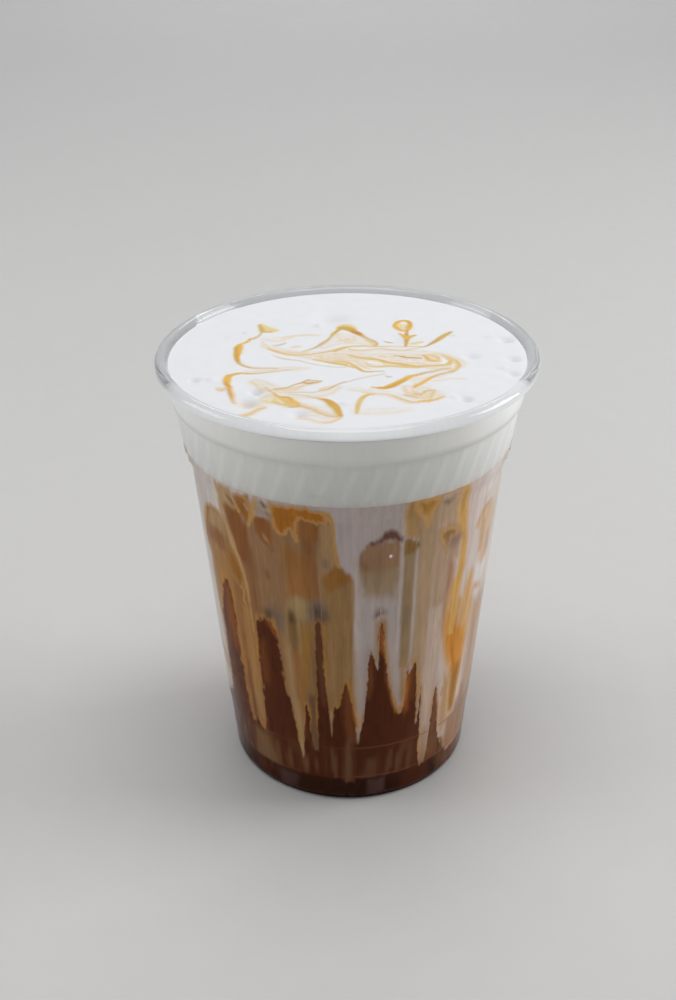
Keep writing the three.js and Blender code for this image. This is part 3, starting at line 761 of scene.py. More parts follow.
def add_painted_highlight(marks, depth, angle, height):
    """A small round white painted highlight among the marks."""
    highlight_angle, highlight_height, size = HIGHLIGHT_SPOT
    inside = size - np.hypot((angle - highlight_angle) * WALL_MM_PER_DEGREE, height - highlight_height)
    marks[inside > -size] = 1.0
    np.maximum(depth, np.clip(inside / HIGHLIGHT_SOFTNESS, -DEEPEST, DEEPEST), out=depth)


def face_layers(angle, height, seed):
    """The wall's paint on one face, from -90 to 90 degrees, as layers of colour and depth."""
    u = (angle + wall_noise(angle, height, SWAY, seed)) * WALL_MM_PER_DEGREE
    v = height + wall_noise(angle, height, DROP, seed)
    ragged = wall_noise(angle, height, RAGGED, seed)
    streak = wall_noise(angle, height, STREAKS, seed)
    blotch = wall_noise(angle, height, BLOTCHES, seed)

    def shaded(shares):
        """How much lighter or darker the streaks and blotches make a paint at each place."""
        return 1 + shares[0] * streak + shares[1] * blotch

    ground = milk_all_round(angle) * shaded(MILK_SHADE)[:, None]
    soft_shapes(ground, VEILS, u, v, ragged, shaded(VEIL_SHADE))
    below, edge_depth = below_edge(angle, u, v)
    lay(ground, EVERYWHERE, pigment("brown"), DARKENING * smooth(below, *EDGE_DARKENS))
    lay(ground, EVERYWHERE, pigment("drip"), DARKENING * smooth(height, *LOW_DARKENS))
    dark = pigment("coffee") * shaded(COFFEE_SHADE)[:, None]
    soft_shapes(dark, DEPTHS, u, v, ragged, shaded(DEPTH_SHADE))
    smears = smooth(wall_noise(angle, height, SMEARS, seed), *SMEAR_NOISE) * smooth(height, *SMEAR_HEIGHTS)
    lay(dark, EVERYWHERE, pigment("smear"), SMEAR_STRENGTH * smears)
    # Painted shade: the drink in the foot is darker, with mauve patches of painted reflection
    foot = np.zeros(u.shape + (3,)) + pigment("foot")
    soft_shapes(foot, FOOT_SHADE_AND_REFLECTIONS, u, v, ragged, shaded(FOOT_SHADE))
    lay(dark, EVERYWHERE, foot, smooth(height, *FOOT_SHADE_STARTS))
    layers = [(ground, edge_depth), (dark, np.ones(u.shape))]
    for shapes, start in ((DRIPS, "film"), (SAUCE, "gold"), (MARKS, "violet")):
        layers.append(layer_of(shapes, u, v, ragged, shaded(OVER_SHADE), start))
    # Painted highlight: a small white spot laid on the marks
    add_painted_highlight(*layers[-1], angle, height)
    return [np.concatenate([tones, depth[:, None]], axis=1) for tones, depth in layers]


def wall_layers(angle, height):
    """The wall's paint all round: the front's, the same turned half round, and a blend at the sides."""
    turned = wrapped(angle)
    front = face_layers(turned, height, 0)
    behind = turned - 180 * np.sign(turned + 1e-9)
    raised = np.minimum((height - BACK_TIP_LIFT) / BACK_TIP_SHARE, PAINT_TOP)
    back = face_layers(behind, np.where(height > LOW_PART_TOP, raised, height), BACK_SEED)
    share = smooth(np.abs(turned), *SIDE_BLEND)[:, None]
    return [a * (1 - share) + b * share for a, b in zip(front, back)]


def begin(name, add_primitive, **sizes):
    """A primitive to shape a piece from, alone selected, with its place in its mesh."""
    bpy.ops.object.select_all(action="DESELECT")
    add_primitive(**sizes)
    piece = bpy.context.object
    piece.name = piece.data.name = name
    bpy.ops.object.transform_apply(location=True, rotation=True, scale=True)
    return piece


@contextmanager
def editing(piece, kind="VERT", chosen=None):
    """Edit mode with exactly these points (VERT) or edges (EDGE) selected, or all, then object mode."""
    bpy.ops.object.mode_set(mode="EDIT")
    bpy.ops.mesh.select_mode(type=kind)
    bpy.ops.mesh.select_all(action="SELECT" if chosen is None else "DESELECT")
    if chosen is not None:
        bpy.ops.object.mode_set(mode="OBJECT")
        parts = piece.data.edges if kind == "EDGE" else piece.data.vertices
        parts.foreach_set("select", chosen)
        bpy.ops.object.mode_set(mode="EDIT")
    yield
    bpy.ops.object.mode_set(mode="OBJECT")


def draw_to(old, new):
    """Draws the selected ring out to a new radius and height."""
    bpy.ops.mesh.extrude_edges_move(TRANSFORM_OT_translate={"value": (0, 0, (new[1] - old[1]) * MM)})
    scale_out(new[0] / old[0])


def scale_out(share):
    """Scales what is selected towards or away from the axis."""
    bpy.ops.transform.resize(value=(share, share, 1), center_override=(0, 0, 0))


def lean_by(degrees):
    """Turns what is selected round the axis."""
    bpy.ops.transform.rotate(value=-math.radians(degrees), orient_axis="Z", center_override=(0, 0, 0))


def coordinates(piece):
    """The piece's points in millimetres, outside edit mode."""
    flat = np.empty(len(piece.data.vertices) * 3, np.float32)
    piece.data.vertices.foreach_get("co", flat)
    return flat.reshape(-1, 3).astype(float) / MM


def edge_ends(piece):
    """The two points of each edge."""
    ends = np.empty(len(piece.data.edges) * 2, np.int32)
    piece.data.edges.foreach_get("vertices", ends)
    return ends.reshape(-1, 2)


def turn_of(points):
    """Angle of each point round the axis, in degrees from the front."""
    return np.degrees(np.arctan2(points[:, 0], -points[:, 1]))


def radius_of(points):
    """Distance of each point from the axis."""
    return np.hypot(points[:, 0], points[:, 1])


def finish_piece(piece, node, material, crease):
    """Closes the piece up: merged, facing out, smooth but at creases of so many degrees, in its place."""
    with editing(piece):
        bpy.ops.mesh.remove_doubles(threshold=MERGED * MM)
        bpy.ops.mesh.normals_make_consistent(inside=False)
    bpy.ops.object.shade_smooth_by_angle(angle=math.radians(crease))
    piece.data.materials.append(material)
    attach(piece, "root")
    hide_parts(node)


def bevel_rings(piece, rings, width):
    """Rounds the creases at these rings, given as radius and height."""
    points = coordinates(piece)
    on_ring = np.zeros(len(points), bool)
    for radius, height in rings:
        at_radius = np.abs(radius_of(points) - radius) < 2 * CLOSE
        on_ring |= at_radius & (np.abs(points[:, 2] - height) < 2 * CLOSE)
    ends = edge_ends(piece)
    level = np.abs(points[ends[:, 0], 2] - points[ends[:, 1], 2]) < CLOSE
    with editing(piece, "EDGE", on_ring[ends].all(axis=1) & level):
        bpy.ops.mesh.bevel(offset=width * MM, segments=3, affect="EDGES")


def raise_ribs(piece):
    """Draws the rib columns of the band outwards, then leans its rings, and all above it as far."""
    points = coordinates(piece)
    above = points[:, 2] > RIBS_HIGH + CLOSE
    in_band = (points[:, 2] > RIBS_LOW - CLOSE) & ~above
    column_width = 360 / SHELL_COLUMNS
    column = np.round(turn_of(points) / column_width).astype(int) % RIB_COLUMNS
    for offset in (0, 1, 2):
        with editing(piece, "VERT", in_band & (np.abs(column - RIB_COLUMNS // 2) == offset)):
            scale_out(1 + float(rib_lobe(offset * column_width)) / BAND_BOTTOM[0])
    heights = np.round(points[:, 2], 2)
    for height in np.unique(heights[in_band]):
        lean = float(rib_lean(height))
        if lean > 0:
            with editing(piece, "VERT", heights == height):
                lean_by(lean)
    with editing(piece, "VERT", above):
        lean_by(RIB_LEAN)


def make_cup():
    """The clear cup: one thin wall drawn up ring by ring, over the rim and down inside to the floor."""
    line = outer_line() + inner_line()
    radius, height = line[0]
    piece = begin("cup_shell", bpy.ops.mesh.primitive_circle_add, vertices=SHELL_COLUMNS, radius=radius * MM,
                  location=(0, 0, height * MM))
    with editing(piece):
        bpy.ops.mesh.edge_face_add()
        bpy.ops.mesh.poke()
    floor_hub = (line[-1][0] * 0.1, line[-1][1])
    with editing(piece, "VERT", radius_of(coordinates(piece)) > radius * 0.9):
        for old, new in zip(line, [*line[1:], floor_hub]):
            draw_to(old, new)
        bpy.ops.mesh.merge(type="CENTER")
    bevel_rings(piece, [PUNT, FOOT_INNER, FOOT_OUTER], FOOT_BEVEL)
    bevel_rings(piece, [SHOULDER, band_rows(0)[0], band_rows(0)[-1], COLLAR_BOTTOM], BAND_BEVEL)
    raise_ribs(piece)
    wall = clear_plastic("Clear wall", bend=1.05, mirror=0.4, tint=(0.99, 0.99, 0.99, 1))
    rim = clear_plastic("Clear rim", bend=1.49, mirror=0.7, tint=(0.82, 0.84, 0.87, 1))
    finish_piece(piece, "cup", wall, crease=40)
    piece.data.materials.append(rim)
    middles = np.empty(len(piece.data.polygons) * 3, np.float32)
    piece.data.polygons.foreach_get("center", middles)
    in_bead = middles[2::3] > COLLAR_TOP[1] * MM
    piece.data.polygons.foreach_set("material_index", in_bead.astype(np.int32))


def make_drum(name, columns, wall_rows, top_rings, bottom_rings):
    """A closed drum of radius 1 mm from height 0 to 1 mm, finely divided, to be shaped."""
    piece = begin(name, bpy.ops.mesh.primitive_cylinder_add, vertices=columns, radius=MM, depth=MM,
                  end_fill_type="NOTHING", location=(0, 0, MM / 2))
    hub = 0.01
    for level in (0, 1):
        points = coordinates(piece)
        with editing(piece, "VERT", (np.abs(points[:, 2] - level) < CLOSE) & (radius_of(points) > 0.9)):
            draw_to((1, 0), (hub, 0))
    for kind, cuts in (("wall", wall_rows), ("top", top_rings), ("bottom", bottom_rings)):
        points = coordinates(piece)
        start, end = points[edge_ends(piece)].transpose(1, 0, 2)
        upright = np.abs(start[:, 2] - end[:, 2]) > 0.5
        spoke = np.abs(radius_of(start) - radius_of(end)) > 0.5
        chosen = {"wall": upright, "top": spoke & (start[:, 2] > 0.9), "bottom": spoke & (start[:, 2] < 0.1)}
        with editing(piece, "EDGE", chosen[kind]):
            bpy.ops.mesh.subdivide(number_cuts=cuts - 1)
    for level in (0, 1):
        points = coordinates(piece)
        with editing(piece, "VERT", (np.abs(points[:, 2] - level) < CLOSE) & (radius_of(points) < 1.1 * hub)):
            bpy.ops.mesh.merge(type="CENTER")
    return piece


def drum_parts(piece):
    """Each point's angle, share of the way up and share of the way out, and True on the wall."""
    points = coordinates(piece)
    out = np.minimum(radius_of(points), 1)
    return turn_of(points), np.clip(points[:, 2], 0, 1), out, out > 0.999


def put_points(piece, angle, radius, height):
    """Moves the piece's points to these angles, radii and heights."""
    turn = np.radians(angle)
    spots = np.stack([radius * np.sin(turn), -radius * np.cos(turn), height], -1) * MM
    piece.data.vertices.foreach_set("co", spots.astype(np.float32).ravel())
    piece.data.update()


def store_colour(piece, name, colour):
    """Stores a colour at each point for the material to read; a fourth value is its depth."""
    layer = piece.data.color_attributes.new(name=name, type="FLOAT_COLOR", domain="POINT")
    rgba = np.ones((len(colour), 4))
    rgba[:, :colour.shape[1]] = colour
    layer.data.foreach_set("color", rgba.astype(np.float32).ravel())


def shape_drink(piece, angle, radius, height):
    """Puts a drink piece's points in place and stores the wall's layers on it."""
    put_points(piece, angle, radius, height)
    for name, layer in zip(("Ground", "Coffee", "Drips", "Sauce", "Marks"), wall_layers(angle, height)):
        store_colour(piece, name, layer)


def crowded(turn):
    """Brings the columns closer together at the front."""
    return turn - math.degrees(FRONT_CROWDING) * np.sin(np.radians(turn))


def boundary_height(share, edge):
    """Height of the surface between coffee and milk, at a share of the way out to the wall."""
    return COFFEE_CORE + between(COFFEE_RISE, share) * (edge - COFFEE_CORE)


def filled_radius(angle, height):
    """Radius of what fills the cup at an angle and height, with its share of the band's ribs."""
    in_band = smooth(height, BAND_BOTTOM[1], RIBS_LOW) * smooth(height, BAND_TOP[1], RIBS_HIGH)
    return fill_radius(height) + BAND_SINK * in_band + RIB_SHARE * rib_height(angle, height)


def make_milk():
    """The milky layer from the coffee's edge up to the foam."""
    piece = make_drum("milk_body", DRINK_COLUMNS, MILK_ROWS, top_rings=2, bottom_rings=10)
    turn, up, out, on_wall = drum_parts(piece)
    angle = crowded(turn)
    edge = edge_height(angle)
    risen = edge + (FOAM_BOTTOM - edge) * (1 - (1 - up) ** MILK_ROW_CROWDING)
    at_top = up > 0.5
    inner_height = np.where(at_top, FOAM_BOTTOM, boundary_height(out, edge))
    wall_height = np.where(on_wall, risen, np.where(at_top, FOAM_BOTTOM, edge))
    radius = out * filled_radius(angle, wall_height)
    shape_drink(piece, angle, radius, np.where(on_wall, risen, inner_height))
    finish_piece(piece, "milk_layer", drink_finish("Milky coffee", roughness=0.45), crease=60)


def make_coffee():
    """The dark coffee, from the cup's floor up to its uneven edge on the wall."""
    piece = make_drum("cold_brew_body", DRINK_COLUMNS, COFFEE_ROWS, top_rings=10, bottom_rings=6)
    turn, up, out, on_wall = drum_parts(piece)
    angle = crowded(turn)
    edge = edge_height(angle)
    at_top = up > 0.5
    floor = WALL - SINK
    punt_top = PUNT[1] + floor
    punt_end = PUNT[0] / FOOT_OUTER[0]
    over_punt = between([(0, punt_top), (punt_end, punt_top), (PUNT_FOOT, floor), (1, floor)], out)
    inner_height = np.where(at_top, boundary_height(out, edge), over_punt)
    height = np.where(on_wall, floor + (edge - floor) * up, inner_height)
    inner_radius = out * np.where(at_top, fill_radius(edge), FOOT_OUTER[0] - STEP + SINK)
    shape_drink(piece, angle, np.where(on_wall, fill_radius(height), inner_radius), height)
    finish_piece(piece, "cold_brew", drink_finish("Dark coffee", roughness=0.3), crease=60)


# The foam's top. Soft swells: blobs a mm, seed, height, how sharply they end towards the wall. Then
# dents and small ridges: x, y, radius, depth. The gains deepen all of each kind.
SWELLS = [(0.09, 71, 0.16, 6), (0.3, 72, 0.10, 8)]
FOAM_DENTS = [
    (-24, -29.5, 3.6, 0.55), (-22, -23, 2.6, 0.5), (-37.6, -15.5, 2.2, 0.35), (41.5, 9.5, 2.8, 0.4),
    (42, -3.5, 2.6, 0.35), (41, -13, 2.4, 0.3), (28, -28, 2.6, 0.35), (-11.4, -36, 3, 0.35),
    (31.5, -2, 3.2, 0.25), (-4, 25, 7, 0.3), (13, 9, 5, 0.2),
]
FOAM_RIDGES = [
    (-7.4, 19.5, 1.8, 0.35), (-26.4, 15, 1.6, 0.3), (28.2, 12.2, 1.6, 0.3), (-0.8, -30.5, 1.8, 0.35),
    (-33.5, -15.5, 2, 0.25), (37.5, 11, 2, 0.25), (39, -9.5, 2, 0.25), (25.6, -27, 2, 0.25),
    (-18.6, -25, 2.2, 0.3), (-30.5, 12, 2.2, 0.2),
]
DENT_GAIN = 2.3
RIDGE_GAIN = 1.6
# How much painted shade darkens the dents
DENT_SHADE = 0.24

# The drizzle's rise over the foam, and how far its strokes wander from their lines
DRIZZLE_RISE = 0.10
DRIZZLE_WANDER = 0.25

# Seen colours on the foam's top, the light there, and the tones of glossy sauce; the white tone paints small
# highlights
TOP_LIGHT = 1.11
TOP_TONE = {
    "foam": (229, 230, 233), "wash": (229, 215, 199), "cream": (226, 207, 179), "peach": (230, 209, 182),
    "thread": (208, 178, 122), "grey": (207, 195, 176), "brown": (200, 158, 96), "tan": (219, 188, 118),
    "honey": (224, 174, 42), "amber": (207, 152, 20), "dark": (188, 124, 8), "gold": (203, 166, 44),
    "pale gold": (226, 206, 140), "white": (240, 240, 241),
}
GLOSS_TONES = ("honey", "amber", "dark", "gold")

# The drizzle's pale washes: tone, softness, strength, then x, y, half width. Tan threads flow along
# them: how many blobs wide they are a mm, how far blotches bend them, where in their noise they
# show, and their strength.
WASHES = [
    ("wash", 1.2, 0.6, (-21.5, 10.3, 0.71), (-18, 10.2, 1.38), (-15, 11.9, 0.71)),
    ("wash", 1.2, 0.85, (-21.3, 5.7, 0.71), (-17.7, 2.9, 1.16), (-12.5, 0, 1.61), (-6.2, -1.2, 2.95),
     (-0.5, -1.4, 4.07)),
    ("wash", 1.2, 0.85, (-3.1, -1.3, 3.85), (3.2, -3.1, 4.97), (9.5, -3.2, 5.42), (15.8, -3.3, 5.19),
     (22, -5.1, 5.19), (26.1, -6.8, 3.4)),
    ("wash", 1.2, 0.75, (-2.2, 13.4, 0.71), (-0.1, 10.4, 2.28), (3.4, 8, 1.83), (5.9, 6.8, 1.16)),
    ("wash", 1.2, 0.6, (-6.2, 4.3, 0.6), (-3, 8.2, 2.06), (-0.5, 9.8, 2.95)),
    ("wash", 1, 0.8, (-25, -11, 0.49), (-19.7, -10, 0.94), (-14.4, -9.4, 0.94), (-10.2, -9.4, 0.6)),
    ("cream", 1.2, 0.75, (-22.5, -17.2, 1.38), (-20.1, -19.7, 1.83), (-17.2, -22.2, 1.83),
     (-14.4, -22.8, 1.38), (-12, -21.9, 0.71)),
    ("wash", 1.2, 0.7, (-17.1, -24.7, 1.61), (-11.9, -25.3, 2.06), (-6, -24.9, 1.38), (-2.4, -21.1, 0.94)),
    ("cream", 1, 0.85, (-16.6, -27.6, 1.38), (-14.2, -29.5, 2.28), (-11.8, -31.5, 1.16)),
    ("wash", 1.2, 0.7, (-10.2, -31.5, 0.94), (-5.9, -34.4, 1.83), (-2.8, -35.3, 1.16)),
    ("pale gold", 1.2, 0.85, (-19.8, -27, 0.94), (-18.9, -28, 1.38), (-17.7, -29, 0.94)),
    ("wash", 1.4, 0.7, (-25.9, -29.8, 1.16), (-23.2, -30.3, 1.61), (-20.8, -30.8, 0.94)),
    ("wash", 1.4, 0.9, (14.2, -21.4, 0.94), (16.9, -23.9, 2.95), (19.2, -25.4, 2.95), (21.2, -25.4, 1.38)),
    ("wash", 1, 0.7, (0.6, -22.1, 0.49), (5.9, -23.7, 1.05), (10.8, -25.7, 1.38), (14.7, -29.1, 1.38)),
    ("wash", 1.2, 0.5, (2.2, -35, 0.94), (6.7, -35.1, 1.38), (11.7, -34.2, 1.16), (14.5, -33.8, 0.49)),
    ("wash", 1.2, 0.6, (15.3, -15.4, 0.94), (20.4, -14.5, 1.61), (24.6, -12.5, 0.94)),
    ("wash", 1.4, 0.45, (16, -17.4, 0.49), (18.3, -20.5, 1.83)),
    ("wash", 1.2, 0.5, (-12, -37, 0.49), (-8.8, -36.1, 0.94), (-3.9, -38.5, 0.71)),
]
WASH_SPREAD = 0.15
THREAD_BLOBS = 1.6
THREAD_BEND = 3
THREAD_SHOWS = (0.45, 0.7)
THREAD_STRENGTH = 0.42

# The drizzle's strokes: tone, softness, how far they fade to the left of their run (right if
# negative), strength, then x, y, half width. Strokes in white are painted highlights.
STROKES = [
    ("pale gold", 1, 0, 0.9, (-22.8, 20.4, 0.6), (-21.4, 18.2, 1.27), (-19.1, 16.7, 0.82)),
    ("gold", 0.7, 0, 0.8, (-23.2, 20.7, 0.21), (-22.7, 18, 0.43), (-22.1, 15.9, 0.6), (-20, 15.6, 0.26)),
    ("thread", 0.4, 0, 0.9, (-22.5, 15, 0.26), (-23.1, 12.9, 0.32), (-24.4, 11.2, 0.49),
     (-25.3, 10.8, 0.38)),
    ("honey", 0.4, 0, 0.85, (-25.3, 10.8, 0.38), (-25.9, 9, 0.38), (-27.2, 7.4, 0.43), (-28.1, 6.6, 0.49)),
    ("peach", 0.6, 0, 0.8, (-27.1, 6.4, 0.38), (-27.1, 3.6, 0.38), (-27.1, 0.8, 0.26)),
    ("honey", 0.35, 0, 0.95, (-27.8, 6.7, 0.38), (-28.1, 4.8, 0.99), (-28.1, 2, 0.88), (-28.1, -1.3, 0.66),
     (-27.7, -4, 0.49)),
    ("amber", 0.4, 0, 0.8, (-28.6, 4.8, 0.26), (-28.4, 2, 0.32), (-28.1, -1.3, 0.43), (-27.6, -4.6, 0.43),
     (-27.2, -5.8, 0.26)),
    ("thread", 0.3, 1.2, 0.9, (-27.3, -5.6, 0.38), (-26, -7.2, 0.38), (-24.2, -8.4, 0.35),
     (-22.1, -8.8, 0.24), (-19.8, -9, 0.15), (-17.3, -9.3, 0.1)),
    ("thread", 0.3, 0, 0.85, (-14.4, -10, 0.08), (-17.6, -11.1, 0.15), (-20.5, -11.6, 0.22),
     (-23.1, -12.2, 0.29), (-25.2, -12.3, 0.35)),
    ("honey", 0.4, 0, 0.85, (-24.6, -12.2, 0.17), (-26.6, -12.1, 0.43), (-28.2, -12.8, 0.6),
     (-29.4, -13.7, 0.71)),
    ("honey", 0.35, 0, 0.95, (-29.4, -13.6, 0.71), (-29.5, -16, 0.94), (-29.3, -18.5, 0.71),
     (-28.6, -21, 0.6)),
    ("amber", 0.35, 0, 0.9, (-29.8, -17.5, 0.26), (-29.2, -19, 0.43), (-28.4, -21.8, 0.6),
     (-27.9, -24.5, 0.6), (-27.4, -27.1, 0.38), (-27, -29, 0.15)),
    ("peach", 0.4, 0, 0.7, (-28, -20.6, 0.26), (-27.3, -24.5, 0.32), (-26.9, -28.3, 0.26)),
    ("cream", 0.5, 0, 0.95, (-31.6, -20.7, 0.38), (-30.7, -21.1, 0.71), (-29.7, -21, 0.49)),
    ("thread", 0.5, 0, 0.6, (-31.3, -21.5, 0.15), (-30.4, -22.2, 0.21), (-29.8, -21.5, 0.15)),
    ("peach", 0.8, 0, 0.8, (-28.4, -36.9, 0.38), (-26.3, -36.7, 0.82), (-24.2, -36.1, 0.94),
     (-22.3, -34.7, 0.82), (-20.7, -32.7, 0.71), (-19.6, -32, 0.38)),
    ("honey", 0.6, 0, 0.9, (-26.2, -36.5, 0.43), (-25.3, -36.5, 0.54)),
    ("tan", 0.6, 0, 0.6, (-25.1, -36.5, 0.32), (-23.3, -35.6, 0.32), (-21.4, -33.1, 0.26),
     (-19.5, -32.1, 0.15)),
    ("tan", 0.5, 0, 0.85, (-18.1, -24.7, 0.26), (-16.7, -26.1, 0.49), (-15, -28.6, 0.6),
     (-13.7, -30.7, 0.71), (-11.8, -31.7, 0.38)),
    ("honey", 0.5, 0, 0.8, (-16, -26.6, 0.26), (-14.4, -26.9, 0.54), (-13, -29.1, 0.54),
     (-11.8, -30.3, 0.43), (-10.8, -31.7, 0.21)),
    ("brown", 0.35, 0, 0.7, (-15.4, -26.7, 0.17), (-14.2, -27, 0.32), (-13.4, -28.1, 0.21)),
    ("tan", 0.5, 0, 0.8, (-17.7, -28.7, 0.26), (-16.1, -30.2, 0.38), (-14.5, -30.9, 0.26)),
    ("brown", 0.35, 0, 0.6, (-14.1, -31.8, 0.21), (-12.9, -32.1, 0.29), (-11.8, -31.8, 0.17)),
    ("thread", 0.4, 0, 0.7, (-20.1, -20.2, 0.15), (-18.4, -23.2, 0.26), (-16.9, -25.7, 0.32)),
    ("cream", 0.5, 0, 0.9, (-10.8, -30.8, 0.38), (-8.6, -32.4, 0.6), (-6.6, -34.6, 0.71),
     (-4.3, -36.7, 0.71), (-2, -37.4, 0.38)),
    ("thread", 0.4, 0, 0.75, (-10.8, -31.5, 0.21), (-8.6, -33.1, 0.21), (-6.8, -35.3, 0.21),
     (-4.7, -36.9, 0.21), (-2.6, -37.8, 0.17)),
    ("peach", 0.6, 0, 0.85, (-12.6, -37.2, 0.26), (-10.6, -38.1, 0.49), (-8.7, -38.8, 0.38),
     (-6.8, -40.1, 0.49), (-3.9, -39.9, 0.49), (-1.8, -38.1, 0.32)),
    ("tan", 0.5, 0, 0.5, (-5.8, -40.3, 0.15), (-3.9, -40.2, 0.26), (-2, -38.5, 0.17)),
    ("cream", 0.5, 0, 0.9, (-18, -21.7, 0.49), (-14.8, -22, 0.6), (-12, -20.9, 0.6), (-10, -19.4, 0.6),
     (-7.2, -18.1, 0.38)),
    ("thread", 0.35, 0, 0.9, (-17.6, -21.5, 0.26), (-14.8, -20.9, 0.29), (-12.9, -19.3, 0.29),
     (-11.1, -18.1, 0.43), (-9.5, -16.9, 0.38), (-6.2, -17.1, 0.17)),
    ("brown", 0.35, 0, 0.75, (-10.9, -18.3, 0.21), (-9.5, -18.5, 0.49), (-7.7, -17.9, 0.29),
     (-6.4, -17.4, 0.13)),
    ("brown", 0.4, 0, 0.5, (-9.9, -16.4, 0.21), (-9.5, -16.2, 0.21)),
    ("grey", 0.3, 0, 0.8, (-13.9, -24, 0.15), (-11, -23.9, 0.2), (-8.4, -23.8, 0.2), (-6.8, -22.9, 0.2)),
    ("peach", 0.5, 0, 0.9, (-6.8, -22.2, 0.26), (-5.4, -21.2, 0.6), (-3.6, -20.3, 0.43)),
    ("thread", 0.3, 0, 0.85, (-6.8, -22.7, 0.17), (-4.6, -21.8, 0.22), (-3, -19.8, 0.22),
     (-0.6, -17.4, 0.2)),
    ("grey", 0.3, 0, 0.9, (-3, -19.9, 0.15), (-1.2, -18.2, 0.26), (1, -16.9, 0.24), (3.3, -15.6, 0.2),
     (6.1, -14.2, 0.17), (9.2, -12.9, 0.17)),
    ("grey", 0.35, 0, 0.9, (9.6, -14.3, 0.21), (10.2, -14.9, 0.43), (10.9, -14.7, 0.21)),
    ("grey", 0.35, 0, 0.9, (-14.3, -25, 0.1), (-10.9, -25.5, 0.17), (-8.3, -26.7, 0.26),
     (-6.5, -27.8, 0.38)),
    ("tan", 0.4, 0, 0.8, (-7.3, -27, 0.26), (-5.7, -28, 0.6), (-4.5, -29.2, 0.71)),
    ("amber", 0.35, -1, 0.95, (-6.1, -27.9, 0.21), (-4.7, -28.8, 0.71), (-3.4, -31.4, 0.94),
     (-2.4, -34, 0.77), (-1.7, -37, 0.49)),
    ("gold", 0.4, 0, 0.6, (-4, -30.9, 0.26), (-3, -33, 0.43), (-2.2, -35.3, 0.32)),
    ("grey", 0.4, 0, 0.9, (-19, 6.1, 0.26), (-17.4, 6.4, 0.43), (-16, 7.8, 0.26)),
    ("cream", 0.7, 0, 0.8, (-16.7, 11.4, 0.26), (-14, 12.7, 0.38), (-10.7, 13.3, 0.38), (-7.2, 12.9, 0.15)),
    ("cream", 0.5, 0, 0.95, (-14.3, 4.5, 0.26), (-13.1, 5, 0.71), (-12, 5.3, 0.26)),
    ("wash", 0.5, 0, 0.9, (-22.1, 8.6, 0.38), (-21.3, 6.3, 0.49), (-19.9, 4, 0.49)),
    ("cream", 0.5, 0, 0.9, (-20.4, 4.3, 0.26), (-18.1, 2.3, 0.6), (-15.6, 1.1, 1.05), (-12.6, 0.5, 1.05),
     (-10, -0.1, 0.49)),
    ("tan", 0.35, 0, 0.75, (-20.4, 4.1, 0.15), (-18.6, 2.3, 0.38), (-16.4, 0.6, 0.38), (-14.2, -0.4, 0.38),
     (-11.5, -0.7, 0.29), (-8.3, 0.2, 0.2), (-5.4, 1.6, 0.2)),
    ("brown", 0.3, 0, 0.6, (-8.7, 0.2, 0.1), (-6.6, 1, 0.17), (-4.9, 1.6, 0.21), (-3.5, 2.6, 0.15)),
    ("tan", 0.4, 0, 0.8, (-5.2, 1.7, 0.26), (-3, 2.8, 0.49), (-0.5, 4.2, 0.49)),
    ("cream", 0.4, 0, 0.7, (-19.1, -0.2, 0.21), (-17.1, -2.1, 0.26), (-14.6, -3.2, 0.21)),
    ("grey", 0.3, 0, 0.85, (-18, -1.3, 0.15), (-15.6, -3.2, 0.2), (-12.4, -4.1, 0.2), (-9.9, -5.6, 0.2),
     (-6.5, -7.4, 0.17), (-3.6, -8.4, 0.17), (-0.6, -8.7, 0.2)),
    ("tan", 0.4, 0, 0.85, (-8.5, -3.6, 0.15), (-6.2, -4.5, 0.38), (-4.1, -5.6, 0.49), (-2.4, -6.4, 0.54),
     (-0.6, -7, 0.54)),
    ("brown", 0.3, 0, 0.5, (-5.5, -5.3, 0.13), (-3.4, -6.3, 0.2), (-0.6, -7, 0.2)),
    ("cream", 0.4, 0, 0.9, (-7.4, -3.1, 0.15), (-4.1, -3.7, 0.38), (-0.6, -4.6, 0.49)),
    ("thread", 0.35, -0.8, 0.85, (-11.3, 2.1, 0.15), (-9.6, 3.2, 0.22), (-7.7, 5, 0.38), (-6.3, 7.4, 0.49),
     (-4.8, 10.1, 0.38), (-3.9, 12.8, 0.32)),
    ("honey", 0.35, 0, 0.85, (-4, 12.8, 0.26), (-3.5, 13.9, 0.43), (-3.1, 14.4, 0.26)),
    ("gold", 0.4, 0, 0.8, (-3.1, 14.3, 0.38), (-2.2, 16, 0.49), (-1.4, 17.2, 0.6)),
    ("pale gold", 1.2, 0, 0.8, (-1.8, 19.9, 0.38), (-0.2, 19.6, 1.16), (1.3, 18, 0.94)),
    ("gold", 0.9, 0, 0.85, (-2, 17.8, 0.49), (-0.5, 17.8, 1.05), (1.3, 16.5, 0.94)),
    ("amber", 0.35, 1, 0.95, (-1.6, 16.9, 0.26), (0, 16.6, 0.54), (1.5, 15.3, 0.88), (3, 13.5, 0.82),
     (4.1, 11.8, 0.49), (4.9, 10.6, 0.26)),
    ("dark", 0.4, 0, 0.8, (1.3, 15.2, 0.26), (2.4, 14.3, 0.6), (3.3, 13.2, 0.49)),
    ("thread", 0.35, 0, 0.9, (4.3, 11.5, 0.38), (5.8, 9.8, 0.43), (7, 8.2, 0.38), (7.7, 6.7, 0.38),
     (7.4, 5.2, 0.38)),
    ("tan", 0.5, 0, 0.6, (5.1, 8.9, 0.38), (6.4, 7.1, 0.49), (7.2, 5.6, 0.38)),
    ("honey", 0.4, 0, 0.9, (15.2, 22.9, 0.54), (13.8, 22, 0.6), (12.9, 19.6, 0.6), (13.6, 16.9, 0.6),
     (14.9, 15.6, 0.54), (16.2, 16.5, 0.6), (16.9, 19.5, 0.6), (16.7, 22.2, 0.6), (15.2, 22.9, 0.49)),
